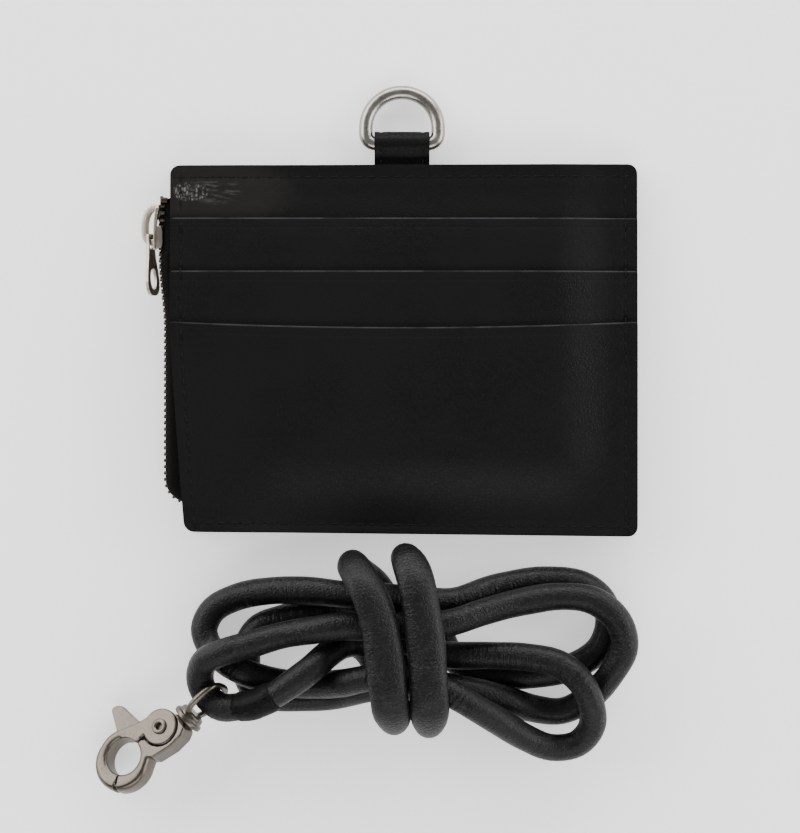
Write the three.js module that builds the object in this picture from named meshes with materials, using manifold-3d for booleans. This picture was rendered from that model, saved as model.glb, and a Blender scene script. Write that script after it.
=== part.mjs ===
// Leather id card holder with a zipped coin pocket, a D-ring and a rolled leather lanyard.
// Millimetres, +X to the right of the card face, +Y to the D-ring, +Z out of the card face.
// The holder lies on its back cover, and the lanyard lies tied in a bundle below it.
import * as THREE from 'three';
import { mergeVertices } from 'three/addons/utils/BufferGeometryUtils.js';
import Module from 'manifold-3d';

const wasm = await Module();
wasm.setup();

// Card section in plan, from its centre
const BODY_WIDTH = 105;
const BODY_HEIGHT = 83.4;
const BODY_CORNER = 2.2;
const LEAN_START = 6.5; // height on the left edge where it starts to lean inwards
const LEAN_FOOT = 3.4; // how far the left edge has leaned in at its foot
const FOOT_RISE = 1.2; // the lower left corner sits this much higher than the lower right one
const TOP_RISE = 0.4; // the upper right corner sits this much higher than the upper left one

// Edges of the three card slots, from the centre
const UPPER_SLOT = 29.9;
const MIDDLE_SLOT = 18;
const FRONT_SLOT = 6.6;
const FRONT_SAG = 1.3; // the widest slot edge hangs a little in its middle
const SLOT_CORNER = 0.8;

// Sheets, from the back up
const COVER_LEATHER = 0.9;
const FILM_SHEET = 0.3;
const LINING_SHEET = 0.3;
const TAPE_SHEET = 0.3;
const MAIN_LEATHER = 0.8;
const SLOT_LEATHER = 0.7;
const LAYER_GAP = 0.3;
const POCKET_SPACE = 3.6; // free height inside the coin pocket
const EDGE_SETBACK = 0.5; // a lining ends this far inside the leather

// The front sheets come down to the back ones at the sewn edges and stay up beside the zip
const SEAM_DROP = 3.2;
const TOP_DROP_SHARE = 0.33; // less at the top, where the ring's tab lies between the linings
const SEAM_FLAT = 3.6;
const SEAM_SLOPE = 16;
const ZIP_SIDE_FLAT = 10;
const ZIP_SIDE_SLOPE = 22;

// Id window in the back cover
const WINDOW_TO_TAPE = 0.65; // room between the film and the zip tape, which sets the window's width
const WINDOW_HEIGHT = 48;
const WINDOW_CORNER = 4;
const WINDOW_LIFT = -3; // the window's centre above the cover's centre
const FILM_MARGIN = 4;

// Zip down the left edge and round the pocket's lower corner
const ZIP_OUT = 1.4; // chain centre outside the leather's left edge
const ZIP_TOP = 33;
const ZIP_TURN = -28.7; // where the chain starts to turn
const ZIP_TURN_RADIUS = 5.6;
const ZIP_TAIL = 2.2; // straight end under the card section
const TOOTH_PITCH = 1.4;
const TOOTH_LENGTH = 0.5; // along the chain at the root
const TOOTH_HEAD = 0.62; // along the chain at the hooked head
const TOOTH_REACH = 0.55; // past the chain's middle
const BEAD_LOW = 0.8; // from the chain's middle to the cord that the teeth stand on
const BEAD_HIGH = 1.5;
const CHAIN_THICKNESS = 1.7;
const SPREAD = 1.4; // how far each row has moved apart at the diamond
const TAPE_WIDTH = 8.6;
const TAPE_SLIT = 0.95; // from the chain's middle to each tape's edge

// Slider, with its plates square to the X axis
const SLIDER_TOP = 32.8;
const SLIDER_LENGTH = 9.9;
const SLIDER_PLATE = 0.7;
const SLIDER_PLAY = 0.55; // between the chain and the outer plate
const NOSE_WIDTH = 6.4;
const TAIL_WIDTH = 5.4;
const INNER_PLATE_WIDTH = 3.8;
const FLANGE = 0.6;
const FLANGE_LENGTH = 4.6;
const FLANGE_CLEARANCE = 0.3;
const DIAMOND_HALF = 0.55;
const BRIDGE_RISE = 2.7;
const BRIDGE_STRIP = 0.8;
const BRIDGE_WIDTH = 1.3;
const BRIDGE_LENGTH = 8.2;

// Puller
const PULL_LENGTH = 14;
const PULL_WIDTH = 4.4;
const PULL_THICKNESS = 0.8;
const PULL_ROLL = THREE.MathUtils.degToRad(16);
const PULL_EYE_WIDTH = 2.2;
const PULL_EYE_LENGTH = 3;
const PULL_BAR = 0.9;
const PULL_HOLE_WIDTH = 1.9;
const PULL_HOLE_LENGTH = 4.8;

// Stops at the ends of the chain
const STOP_LENGTH = 1.2;
const STOP_WIDTH = 1.6;

// D-ring and its tab
const RING_WIRE = 3.1;
const RING_INNER_WIDTH = 13.2;
const RING_REACH = 11.8; // from the bar's middle to the middle of the bow
const RING_CORNER = 2.6;
const BAR_ABOVE_EDGE = 5; // the bar's middle above the holder's top edge
const TAB_WIDTH = 12.4;
const TAB_LEATHER = 0.9;
const TAB_TAIL = 8; // inside the holder
const TAB_SHIFT = -0.45;
const RUNNING_GAP = 0.3;
const TAB_LIFT = 1.2; // the tab's middle above the rear lining

// Lanyard cord
const CORD_DIAMETER = 6.2;
const CORD_SIDES = 8;
const CORD_STEP = 5.2;
const JOIN_DIAMETER = 6.9;
const BUTT_GAP = 0.3;
const JOIN_STEPS = 8;

// Trigger hook, drawn flat: its length runs along X, its jaw side along Y, from the rivet
const HOOK_RIVET = [-53.8, -84.9];
const HOOK_HEIGHT = 7; // the rivet's middle above the table
const HOOK_HEADING = THREE.MathUtils.degToRad(43.4);
const HOOK_PITCH = THREE.MathUtils.degToRad(7);
const HOOK_ROLL = THREE.MathUtils.degToRad(30);
const HOOK_THICKNESS = 5;
const LOOP_CENTRE = [-11.2, 0.9];
const LOOP_RADIUS = 6.4;
const LOOP_HOLE_CENTRE = [-10.8, 1];
const LOOP_HOLE_RADIUS = 4.25;
const LOOP_ROUNDING = 0.7;
const SPLIT_ANGLE = THREE.MathUtils.degToRad(217.5);
const SPLIT_GAP = 0.3;
const DISC_RADIUS = 4.3;
const DISC_ROUNDING = 0.3;
const RIVET_RADIUS = 1.2;
const RIVET_HEAD_RADIUS = 1.75;
const RIVET_HEAD = 0.35;
const RIVET_RECESS_RADIUS = 0.75;
const RIVET_RECESS = 1.2;
const TRIGGER_TIP = 11.1;
const TRIGGER_THICKNESS = 2.1;
const SPRING_RADIUS = 2.25;
const SPRING_WIRE = 0.4;
const SPRING_TURNS = 2;
const SPRING_STEPS = 8;
const SPRING_SIDES = 5;
const SPRING_ROOM = 0.95; // depth of the recess in each lug
const LAP_GAP = 0.3;

// Swivel: its axis runs along the hook's length, off to the fixed jaw's side
const SWIVEL_SIDE = -2.2;
const NECK_END = 4.9;
const NECK_WIDTH = 4.6;
const NECK_THICKNESS = 4.4;
const STUD_RADIUS = 1.1;
const STUD_LENGTH = 0.9;
const COLLAR_RADIUS = 3.7;
const COLLAR_RIM = 1.2;
const BARREL_RADIUS = 3;
const BARREL_LENGTH = 1.4;
const EYE_STRAP = 1.5;
const EYE_INNER_LENGTH = 8;
const EYE_INNER_WIDTH = 8;
const EYE_ROLL = THREE.MathUtils.degToRad(66); // the bow stands almost upright

const ARC_STEPS = 10;

// The cord's route, chosen by hand: from the join through the eye, round the bundle and back
const CORD_ROUTE = [
  // through the eye and over the front of the bundle
  [-37, -79.6, 12], [-40.9, -79.8, 10.7], [-43.7, -77.9, 9.6], [-45.4, -75, 9.5], [-45.6, -71.8, 11.1],
  [-44, -68.9, 13.9], [-40.5, -67.3, 15.9], [-34, -65.5, 14.8], [-27, -63.5, 14.6], [-19.5, -62.2, 16.9], [-14.5, -61.5, 17.2],
  [-8.5, -61.5, 16.8], [-1, -61.3, 16.6], [6, -61.3, 16.5], [11, -60.5, 16],
  // middle loop on the right and back
  [18, -58.3, 13.4], [26, -56.3, 10.8], [35, -55, 10.2], [42.5, -56, 10.2], [48, -60.5, 10],
  [49.5, -66.5, 8.8], [46.5, -72.5, 7.2], [41.5, -78, 4.4], [35.5, -81, 3.25], [29.5, -80.5, 3.8],
  [23.5, -78.5, 7.4], [16.5, -76.5, 9.6], [11, -75.4, 9.9], [4.5, -74.3, 10.1], [-2.5, -74.4, 10.4],
  // inner loop on the left
  [-9, -75.9, 9], [-15.2, -77.4, 4.7], [-22, -78, 3.25], [-28.5, -78, 3.25], [-33, -76.8, 3.25],
  [-35.2, -73.5, 3.3], [-35.4, -69.6, 3.25], [-35, -65.5, 3.25], [-32.5, -62, 3.25], [-27.5, -60.2, 3.25],
  [-20, -58.8, 3.25], [-14, -58.2, 3.4], [-10, -59, 5.6], [-6.5, -60.6, 8.6], [-2.5, -63, 9.9],
  // front loop on the right
  [2, -65.5, 9.9], [6.5, -67.5, 9.9], [11.5, -68.2, 9.9], [19.5, -68.2, 10.5], [27, -68.5, 11.2],
  [34.5, -70, 12.4], [39.5, -74, 13.2], [42, -79.5, 11.6], [42, -84.5, 8.4], [38.7, -88.3, 6.4],
  [33, -89, 6.8], [27, -86.5, 9.8], [21.5, -83, 13.4], [16.5, -80, 15.8], [11.5, -77, 16.7],
  // outer loop on the left
  [6, -74.5, 16.9], [-1, -73.2, 17.1], [-7.5, -73, 16.4], [-13.5, -74.2, 13.8], [-19.5, -74.8, 10.2],
  [-26.5, -74.5, 9.4], [-33, -73, 9.8], [-37.3, -71.2, 9.9], [-41, -69, 7.1], [-43.9, -66.2, 4.2],
  [-45, -62.5, 3.3], [-43, -58.3, 3.25], [-37.5, -55.3, 4.2], [-29.5, -53.8, 6.8], [-21, -53.8, 9.2],
  [-13, -54.5, 11.3], [-6.5, -54.7, 12.2], [0, -55.5, 11.2],
  // outer loop on the right, and under the bundle
  [6, -56, 10], [11.5, -56, 8.6], [21.5, -53, 5], [31.5, -51.5, 3.25], [40, -52.5, 3.25],
  [45, -56.5, 3.25], [46, -61.5, 3.25], [44, -67, 3.25], [38, -71, 3.25], [29.5, -72.8, 3.25],
  [21, -73, 3.25], [14, -71.5, 3.25], [10, -67.5, 3.25], [7.5, -61.5, 3.25], [5, -55.5, 3.3],
  // right wrap
  [2.3, -50.5, 5.2], [0.6, -47.4, 9.4], [0.4, -46, 14.4], [1.3, -47.3, 19.4], [2.7, -51.5, 22.6],
  [4, -58.5, 23.6], [5, -67, 23.8], [5.5, -74.5, 23.8], [5.6, -80, 21.6], [5.6, -83.2, 16],
  [5.4, -83, 9.6], [4.7, -80, 4.6], [3, -73, 3.25], [0.5, -65.5, 3.25], [-2.5, -58.5, 3.25],
  // left wrap
  [-6, -52.7, 3.3], [-9.4, -49.6, 5.4], [-11.2, -48, 10], [-11.4, -47.5, 15], [-10.5, -49, 19.8],
  [-8.3, -52.7, 22.8], [-5.9, -59, 23.6], [-4.5, -67, 23.8], [-3.6, -74.5, 23.8], [-2.9, -79.7, 21.6],
  [-2.3, -82.6, 16], [-2.3, -82.4, 9.6], [-3.4, -79.5, 4.4], [-5.4, -73.2, 3.25], [-7.6, -68.5, 3.3],
  // out over the front and back to the join
  [-10.5, -66, 5.4], [-13.7, -66, 9], [-17, -67.8, 13.6], [-21, -71.2, 16.9], [-25.5, -74.5, 17.3],
  [-29.3, -77, 16.2],
];
const JOIN_MIDDLE = [-33.2, -78.9, 14.2];

const BLACK_LEATHER = { color: 0x1b1b1d, roughness: 0.5, metalness: 0 };
const CORD_LEATHER = { color: 0x202022, roughness: 0.42, metalness: 0 };
const BLACK_CLOTH = { color: 0x141414, roughness: 0.9, metalness: 0 };
const CLEAR_FILM = { color: 0xdfe6e8, roughness: 0.1, metalness: 0 };
const NICKEL = { color: 0xb5aca0, roughness: 0.24, metalness: 1 };
const BRONZE = { color: 0x4a3d33, roughness: 0.35, metalness: 1 };

// Heights of the sheets
const COVER_TOP = COVER_LEATHER;
const REAR_TAPE_BASE = COVER_TOP + LAYER_GAP;
const REAR_LINING_BASE = REAR_TAPE_BASE + TAPE_SHEET + LAYER_GAP;
const POCKET_FLOOR = REAR_LINING_BASE + LINING_SHEET;
const FRONT_LINING_BASE = POCKET_FLOOR + POCKET_SPACE;
const FRONT_TAPE_BASE = FRONT_LINING_BASE + LINING_SHEET + LAYER_GAP;
const MAIN_BASE = FRONT_TAPE_BASE + TAPE_SHEET + LAYER_GAP;
const UPPER_BASE = MAIN_BASE + MAIN_LEATHER + LAYER_GAP;
const MIDDLE_BASE = UPPER_BASE + SLOT_LEATHER + LAYER_GAP;
const FRONT_BASE = MIDDLE_BASE + SLOT_LEATHER + LAYER_GAP;
const POCKET_MIDDLE = POCKET_FLOOR + POCKET_SPACE / 2;
const BAR_Z = POCKET_FLOOR + TAB_LIFT;

const LEFT = -BODY_WIDTH / 2;
const RIGHT = BODY_WIDTH / 2;
const TOP = BODY_HEIGHT / 2;
const BOTTOM = -BODY_HEIGHT / 2;
const CHAIN_X = LEFT - ZIP_OUT;

// Turns a closed geometry into a solid that can be joined and cut
function solid(geometry) {
  const bare = geometry.index ? geometry.toNonIndexed() : geometry.clone();
  bare.deleteAttribute('normal');
  bare.deleteAttribute('uv');
  const merged = mergeVertices(bare, 1e-4);
  return new wasm.Manifold(new wasm.Mesh({
    numProp: 3,
    vertProperties: new Float32Array(merged.attributes.position.array),
    triVerts: new Uint32Array(merged.index.array),
  }));
}

// Turns a solid back into a geometry
function geometryOf(body) {
  const mesh = body.getMesh();
  const geometry = new THREE.BufferGeometry();
  geometry.setAttribute('position', new THREE.BufferAttribute(mesh.vertProperties.slice(), 3));
  geometry.setIndex(new THREE.BufferAttribute(mesh.triVerts.slice(), 1));
  geometry.computeVertexNormals();
  return geometry;
}

function piece(name, geometry, finish) {
  const mesh = new THREE.Mesh(geometry, new THREE.MeshStandardMaterial(finish));
  mesh.name = name;
  return mesh;
}

function shapeOf(points) {
  return new THREE.Shape(points.map(([x, y]) => new THREE.Vector2(x, y)));
}

// A flat plate of a shape between two heights, with its edges rounded by a bevel
function plate(shape, low, high, rounding = 0, segments = 2) {
  const geometry = new THREE.ExtrudeGeometry(shape, {
    depth: high - low - 2 * rounding,
    bevelEnabled: rounding > 0,
    bevelThickness: rounding,
    bevelSize: rounding,
    bevelOffset: -rounding,
    bevelSegments: segments,
    curveSegments: ARC_STEPS,
  });
  geometry.translate(0, 0, low + rounding);
  return geometry;
}

// A corner of an outline, rounded, as a short list of points between two edges
function roundCorner(before, corner, after, radius, steps = 4) {
  const c = new THREE.Vector2(...corner);
  const a = new THREE.Vector2(...before).sub(c).normalize();
  const b = new THREE.Vector2(...after).sub(c).normalize();
  const half = Math.acos(THREE.MathUtils.clamp(a.dot(b), -1, 1)) / 2;
  const reach = radius / Math.tan(half);
  const start = c.clone().addScaledVector(a, reach);
  const end = c.clone().addScaledVector(b, reach);
  return new THREE.QuadraticBezierCurve(start, c, end).getPoints(steps).map((p) => [p.x, p.y]);
}

// A closed outline whose corners each have their own radius
function roundedOutline(corners) {
  return corners.flatMap(([x, y, radius], i) => {
    const before = corners[(i + corners.length - 1) % corners.length];
    const after = corners[(i + 1) % corners.length];
    if (!radius) return [[x, y]];
    return roundCorner(before.slice(0, 2), [x, y], after.slice(0, 2), radius);
  });
}

// The left edge is straight beside the slots and leans inwards below them
function leftEdge(y) {
  const share = Math.max(0, (LEAN_START - y) / (LEAN_START - BOTTOM));
  return LEFT + LEAN_FOOT * share ** 1.15;
}

// The lower edge rises a little to the left
function footEdge(x) {
  return BOTTOM + FOOT_RISE * (RIGHT - x) / BODY_WIDTH;
}

// How far the front sheets have come down at a place on the card section
function seamDrop(x, y) {
  const near = (distance) => 1 - THREE.MathUtils.smoothstep(distance, SEAM_FLAT, SEAM_FLAT + SEAM_SLOPE);
  const start = LEFT + ZIP_SIDE_FLAT;
  const awayFromZip = THREE.MathUtils.smoothstep(x, start, start + ZIP_SIDE_SLOPE);
  const right = near(RIGHT - x);
  const bottom = near(y - BOTTOM) * awayFromZip;
  const top = near(TOP - y) * awayFromZip * TOP_DROP_SHARE;
  return SEAM_DROP * (1 - (1 - right) * (1 - bottom) * (1 - top));
}

function steps(from, to, count) {
  return Array.from({ length: count + 1 }, (_, i) => THREE.MathUtils.lerp(from, to, i / count));
}

// How far a round corner has cut into the side, at a distance from the end of that side
function cornerCut(distance, radius) {
  return distance < radius ? radius - Math.sqrt(radius ** 2 - (radius - distance) ** 2) : 0;
}

const SHEET_COLUMNS = [
  ...steps(LEFT + ZIP_SIDE_FLAT, LEFT + ZIP_SIDE_FLAT + ZIP_SIDE_SLOPE, 4),
  0,
  ...steps(RIGHT - SEAM_FLAT - SEAM_SLOPE, RIGHT - SEAM_FLAT, 4),
];
const SHEET_ROWS = [
  ...steps(BOTTOM + SEAM_FLAT, BOTTOM + SEAM_FLAT + SEAM_SLOPE, 4),
  BOTTOM + BODY_HEIGHT / 3,
  0,
  BODY_HEIGHT / 7,
  ...steps(TOP - SEAM_FLAT - SEAM_SLOPE, TOP - SEAM_FLAT, 4),
];

const ROW_SPACE = 0.1; // least room between a corner's last row and the next

// A sheet over the pocket, on rows and columns that all the front sheets share.
// head is its upper edge, side is its left edge and inset keeps it inside the leather's edge
function softSheet({ head, side, base, thickness, corner = SLOT_CORNER, inset = 0, extraRows = [] }) {
  const shares = [0, 0.3, 1];
  const footCorner = BODY_CORNER - inset;
  const headCorner = corner - inset;
  const lowest = footEdge(LEFT) + BODY_CORNER + ROW_SPACE;
  const highest = Math.min(head(0), head(RIGHT)) - corner - 1;
  const rows = [
    ...shares.map((share) => ({
      y: (x) => footEdge(x) + inset + share * footCorner,
      cut: cornerCut(share * footCorner, footCorner),
    })),
    ...[...SHEET_ROWS, ...extraRows].sort((a, b) => a - b)
      .filter((y) => y > lowest && y < highest)
      .map((y) => ({ y: () => y, cut: 0 })),
    ...shares.slice().reverse().map((share) => ({
      y: (x) => head(x) - inset - share * headCorner,
      cut: cornerCut(share * headCorner, headCorner),
    })),
  ];
  const positions = [];
  for (const height of [base, base + thickness]) {
    for (const row of rows) {
      const left = side(row.y(LEFT)) + inset + row.cut;
      for (const x of [left, ...SHEET_COLUMNS, RIGHT - inset - row.cut]) {
        const y = row.y(x);
        positions.push(x, y, height - seamDrop(x, y));
      }
    }
  }
  const wide = SHEET_COLUMNS.length + 2;
  const high = rows.length;
  const at = (layer, row, column) => (layer * high + row) * wide + column;
  const indices = [];
  const quad = (a, b, c, d) => indices.push(a, b, c, a, c, d);
  for (let r = 0; r + 1 < high; r += 1) {
    for (let c = 0; c + 1 < wide; c += 1) {
      quad(at(1, r, c), at(1, r, c + 1), at(1, r + 1, c + 1), at(1, r + 1, c));
      indices.push(at(0, r, c), at(0, r + 1, c + 1), at(0, r, c + 1));
      indices.push(at(0, r, c), at(0, r + 1, c), at(0, r + 1, c + 1));
    }
    quad(at(0, r, wide - 1), at(0, r + 1, wide - 1), at(1, r + 1, wide - 1), at(1, r, wide - 1));
    quad(at(0, r + 1, 0), at(0, r, 0), at(1, r, 0), at(1, r + 1, 0));
  }
  for (let c = 0; c + 1 < wide; c += 1) {
    quad(at(0, 0, c), at(0, 0, c + 1), at(1, 0, c + 1), at(1, 0, c));
    quad(at(0, high - 1, c + 1), at(0, high - 1, c), at(1, high - 1, c), at(1, high - 1, c + 1));
  }
  const geometry = new THREE.BufferGeometry();
  geometry.setAttribute('position', new THREE.Float32BufferAttribute(positions, 3));
  geometry.setIndex(indices);
  geometry.computeVertexNormals();
  return geometry;
}

// The upper edge of the main panel and the back cover
function topEdge(x) {
  return TOP + TOP_RISE * (x - LEFT) / BODY_WIDTH;
}

// The widest slot's edge hangs a little in its middle
function frontEdge(x) {
  return FRONT_SLOT - FRONT_SAG * (1 - (x / RIGHT) ** 2);
}

function leatherSheet(name, head, base, thickness, corner) {
  return piece(name, softSheet({ head, side: leftEdge, base, thickness, corner }), BLACK_LEATHER);
}

// Back cover with the rounded opening of the id window
function backCover() {
  const edge = [LEAN_START, -14, -30].map((y) => [leftEdge(y), y, 0]);
  const outline = shapeOf(roundedOutline([
    [LEFT, TOP, BODY_CORNER],
    ...edge,
    [leftEdge(footEdge(LEFT)), footEdge(LEFT), BODY_CORNER],
    [RIGHT, BOTTOM, BODY_CORNER],
    [RIGHT, topEdge(RIGHT), BODY_CORNER],
  ]));
  outline.holes.push(shapeOf(windowOutline(0)));
  return piece('back_cover', plate(outline, 0, COVER_LEATHER, COVER_LEATHER * 0.3, 1), BLACK_LEATHER);
}

function windowOutline(margin) {
  const w = margin - (LIP_OUTER + TAPE_WIDTH + WINDOW_TO_TAPE + FILM_MARGIN);
  const h = WINDOW_HEIGHT / 2 + margin;
  return roundedOutline([
    [-w, WINDOW_LIFT - h, WINDOW_CORNER],
    [w, WINDOW_LIFT - h, WINDOW_CORNER],
    [w, WINDOW_LIFT + h, WINDOW_CORNER],
    [-w, WINDOW_LIFT + h, WINDOW_CORNER],
  ]);
}

function windowFilm() {
  const base = COVER_TOP + LAYER_GAP;
  return piece('id_window', plate(shapeOf(windowOutline(FILM_MARGIN)), base, base + FILM_SHEET), CLEAR_FILM);
}

// A pocket lining keeps inside the slider's way and the tapes' folded edges
function lining(name, base, front) {
  const inset = EDGE_SETBACK;
  const left = SLIDER_INNER_FACE + LAYER_GAP;
  const turnX = CHAIN_X + ZIP_TURN_RADIUS + LAYER_GAP;
  const turnY = ZIP_TURN - ZIP_TURN_RADIUS + LIP_INNER - CHAIN_X + LAYER_GAP;
  const round = turnX - left;
  if (!front) {
    const outline = roundedOutline([
      [left, TOP - inset, SLOT_CORNER],
      [left, turnY, round - LAYER_GAP],
      [turnX, turnY, 0],
      [turnX, footEdge(turnX) + inset, BODY_CORNER],
      [RIGHT - inset, BOTTOM + inset, BODY_CORNER],
      [RIGHT - inset, topEdge(RIGHT) - inset, BODY_CORNER],
    ]);
    return piece(name, plate(shapeOf(outline), base, base + LINING_SHEET), BLACK_CLOTH);
  }
  const side = (y) => (y < turnY ? turnX : left + cornerCut(y - turnY, round)) - inset;
  const extraRows = [turnY, turnY + 0.1 * round, turnY + 0.4 * round, turnY + round];
  const shape = { head: topEdge, side, base, thickness: LINING_SHEET, corner: BODY_CORNER, inset, extraRows };
  return piece(name, softSheet(shape), BLACK_CLOTH);
}

// Faces of the zip's parts, from the outside in
const CHAIN_OUTER = CHAIN_X - CHAIN_THICKNESS / 2;
const CHAIN_INNER = CHAIN_X + CHAIN_THICKNESS / 2;
const LIP_OUTER = CHAIN_INNER + LAYER_GAP;
const LIP_INNER = LIP_OUTER + TAPE_SHEET;
const SLIDER_OUTER_BACK = CHAIN_OUTER - SLIDER_PLAY;
const SLIDER_FACE = SLIDER_OUTER_BACK - SLIDER_PLATE;
const SLIDER_INNER_BACK = LIP_INNER + LAYER_GAP;
const SLIDER_INNER_FACE = SLIDER_INNER_BACK + SLIDER_PLATE;

// The chain's route in plan: a point and the direction to the inside, at a distance from its top
function chainAt(distance) {
  const straight = ZIP_TOP - ZIP_TURN;
  const turn = (ZIP_TURN_RADIUS * Math.PI) / 2;
  if (distance <= straight) {
    return { x: CHAIN_X, y: ZIP_TOP - distance, inX: 1, inY: 0 };
  }
  if (distance <= straight + turn) {
    const angle = (distance - straight) / ZIP_TURN_RADIUS;
    return {
      x: CHAIN_X + ZIP_TURN_RADIUS * (1 - Math.cos(angle)),
      y: ZIP_TURN - ZIP_TURN_RADIUS * Math.sin(angle),
      inX: Math.cos(angle),
      inY: Math.sin(angle),
    };
  }
  return {
    x: CHAIN_X + ZIP_TURN_RADIUS + distance - straight - turn,
    y: ZIP_TURN - ZIP_TURN_RADIUS,
    inX: 0,
    inY: 1,
  };
}

const CHAIN_LENGTH = ZIP_TOP - ZIP_TURN + (ZIP_TURN_RADIUS * Math.PI) / 2 + ZIP_TAIL;

// Near its top each row has moved away from the other to pass the slider's diamond
function rowSpread(distance) {
  const y = ZIP_TOP - distance;
  return SPREAD * THREE.MathUtils.smoothstep(y, SLIDER_TOP - 5.8, SLIDER_TOP - 1.4);
}

// One row of teeth on its cord. side is 1 for the front row and -1 for the rear row
function toothRow(name, side) {
  const positions = [];
  const indices = [];
  const half = CHAIN_THICKNESS / 2;
  const vertex = (distance, reach, inside) => {
    const p = chainAt(distance);
    const height = POCKET_MIDDLE + side * (reach + rowSpread(distance));
    positions.push(p.x + p.inX * inside, p.y + p.inY * inside, height);
    return positions.length / 3 - 1;
  };
  // Two triangles of a four-cornered face, turned to face out on either row
  const face = (a, b, c, d) => {
    if (side > 0) indices.push(a, b, c, a, c, d);
    else indices.push(a, c, b, a, d, c);
  };
  // A cross-section of the cord: outer low, inner low, inner high, outer high
  const section = (distance) => [
    vertex(distance, BEAD_LOW, -half),
    vertex(distance, BEAD_LOW, half),
    vertex(distance, BEAD_HIGH, half),
    vertex(distance, BEAD_HIGH, -half),
  ];
  const offset = side > 0 ? 0 : TOOTH_PITCH / 2;
  const count = Math.floor((CHAIN_LENGTH - offset - TOOTH_PITCH) / TOOTH_PITCH);
  let previous = section(0);
  face(previous[0], previous[3], previous[2], previous[1]);
  for (let i = 0; i < count; i += 1) {
    const middle = offset + (i + 0.75) * TOOTH_PITCH;
    const start = section(middle - TOOTH_LENGTH / 2);
    const end = section(middle + TOOTH_LENGTH / 2);
    face(previous[0], previous[1], start[1], start[0]);
    for (const [one, two] of [[previous, start], [start, end]]) {
      face(one[1], one[2], two[2], two[1]);
      face(one[2], one[3], two[3], two[2]);
      face(one[3], one[0], two[0], two[3]);
    }
    const head = [
      vertex(middle - TOOTH_HEAD / 2, -TOOTH_REACH, -half),
      vertex(middle - TOOTH_HEAD / 2, -TOOTH_REACH, half),
      vertex(middle + TOOTH_HEAD / 2, -TOOTH_REACH, half),
      vertex(middle + TOOTH_HEAD / 2, -TOOTH_REACH, -half),
    ];
    const root = [start[0], start[1], end[1], end[0]];
    for (let k = 0; k < 4; k += 1) {
      const next = (k + 1) % 4;
      face(root[k], root[next], head[next], head[k]);
    }
    face(head[0], head[1], head[2], head[3]);
    previous = end;
  }
  const last = section(CHAIN_LENGTH);
  for (let k = 0; k < 4; k += 1) {
    const next = (k + 1) % 4;
    face(previous[k], previous[next], last[next], last[k]);
  }
  face(last[0], last[1], last[2], last[3]);
  const geometry = new THREE.BufferGeometry();
  geometry.setAttribute('position', new THREE.Float32BufferAttribute(positions, 3));
  geometry.setIndex(indices);
  geometry.computeVertexNormals();
  return piece(name, geometry, BRONZE);
}

// A tape: a flat strip in the holder, with its edge folded up beside the chain
function zipTape(name, base, side) {
  const bend = ZIP_TURN_RADIUS - (LIP_OUTER - CHAIN_X);
  const inner = LIP_OUTER + TAPE_WIDTH;
  const centreX = CHAIN_X + ZIP_TURN_RADIUS;
  const edge = (radius, top) => {
    const points = [[centreX - radius, top]];
    for (let i = 0; i <= ARC_STEPS; i += 1) {
      const angle = Math.PI + (i / ARC_STEPS) * (Math.PI / 2);
      points.push([centreX + radius * Math.cos(angle), ZIP_TURN + radius * Math.sin(angle)]);
    }
    return points;
  };
  const top = TOP - EDGE_SETBACK;
  const outer = edge(bend, top);
  const flat = shapeOf([...outer, [inner, ZIP_TURN - bend], [inner, top]]);
  const lip = shapeOf([...outer, ...edge(bend - TAPE_SHEET, top).reverse()]);
  const sheet = solid(plate(flat, base, base + TAPE_SHEET));
  const lipEdge = POCKET_MIDDLE + side * TAPE_SLIT;
  const low = side > 0 ? lipEdge : base;
  const high = side > 0 ? base + TAPE_SHEET : lipEdge;
  const wall = solid(plate(lip, low, high));
  return piece(name, geometryOf(sheet.add(wall)), BLACK_CLOTH);
}

// A pressed metal stop, with its edges rounded
function zipStop(name, distance, reach, width) {
  const p = chainAt(distance);
  const half = CHAIN_THICKNESS / 2;
  const shape = shapeOf(roundedOutline([
    [-STOP_LENGTH / 2, -half, 0.3],
    [STOP_LENGTH / 2, -half, 0.3],
    [STOP_LENGTH / 2, half, 0.3],
    [-STOP_LENGTH / 2, half, 0.3],
  ]));
  const mesh = piece(name, plate(shape, -width / 2, width / 2, 0.2, 1), NICKEL);
  mesh.position.set(p.x, p.y, POCKET_MIDDLE + reach);
  mesh.rotation.z = Math.atan2(-p.inX, p.inY);
  return mesh;
}

// A plate that stands square to the X axis, drawn in Y and Z
function standingPlate(points, from, to, rounding) {
  const geometry = plate(shapeOf(points), 0, to - from, rounding, 1);
  geometry.applyMatrix4(new THREE.Matrix4().makeBasis(
    new THREE.Vector3(0, 1, 0),
    new THREE.Vector3(0, 0, 1),
    new THREE.Vector3(1, 0, 0),
  ));
  geometry.translate(from, 0, 0);
  return geometry;
}

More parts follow.
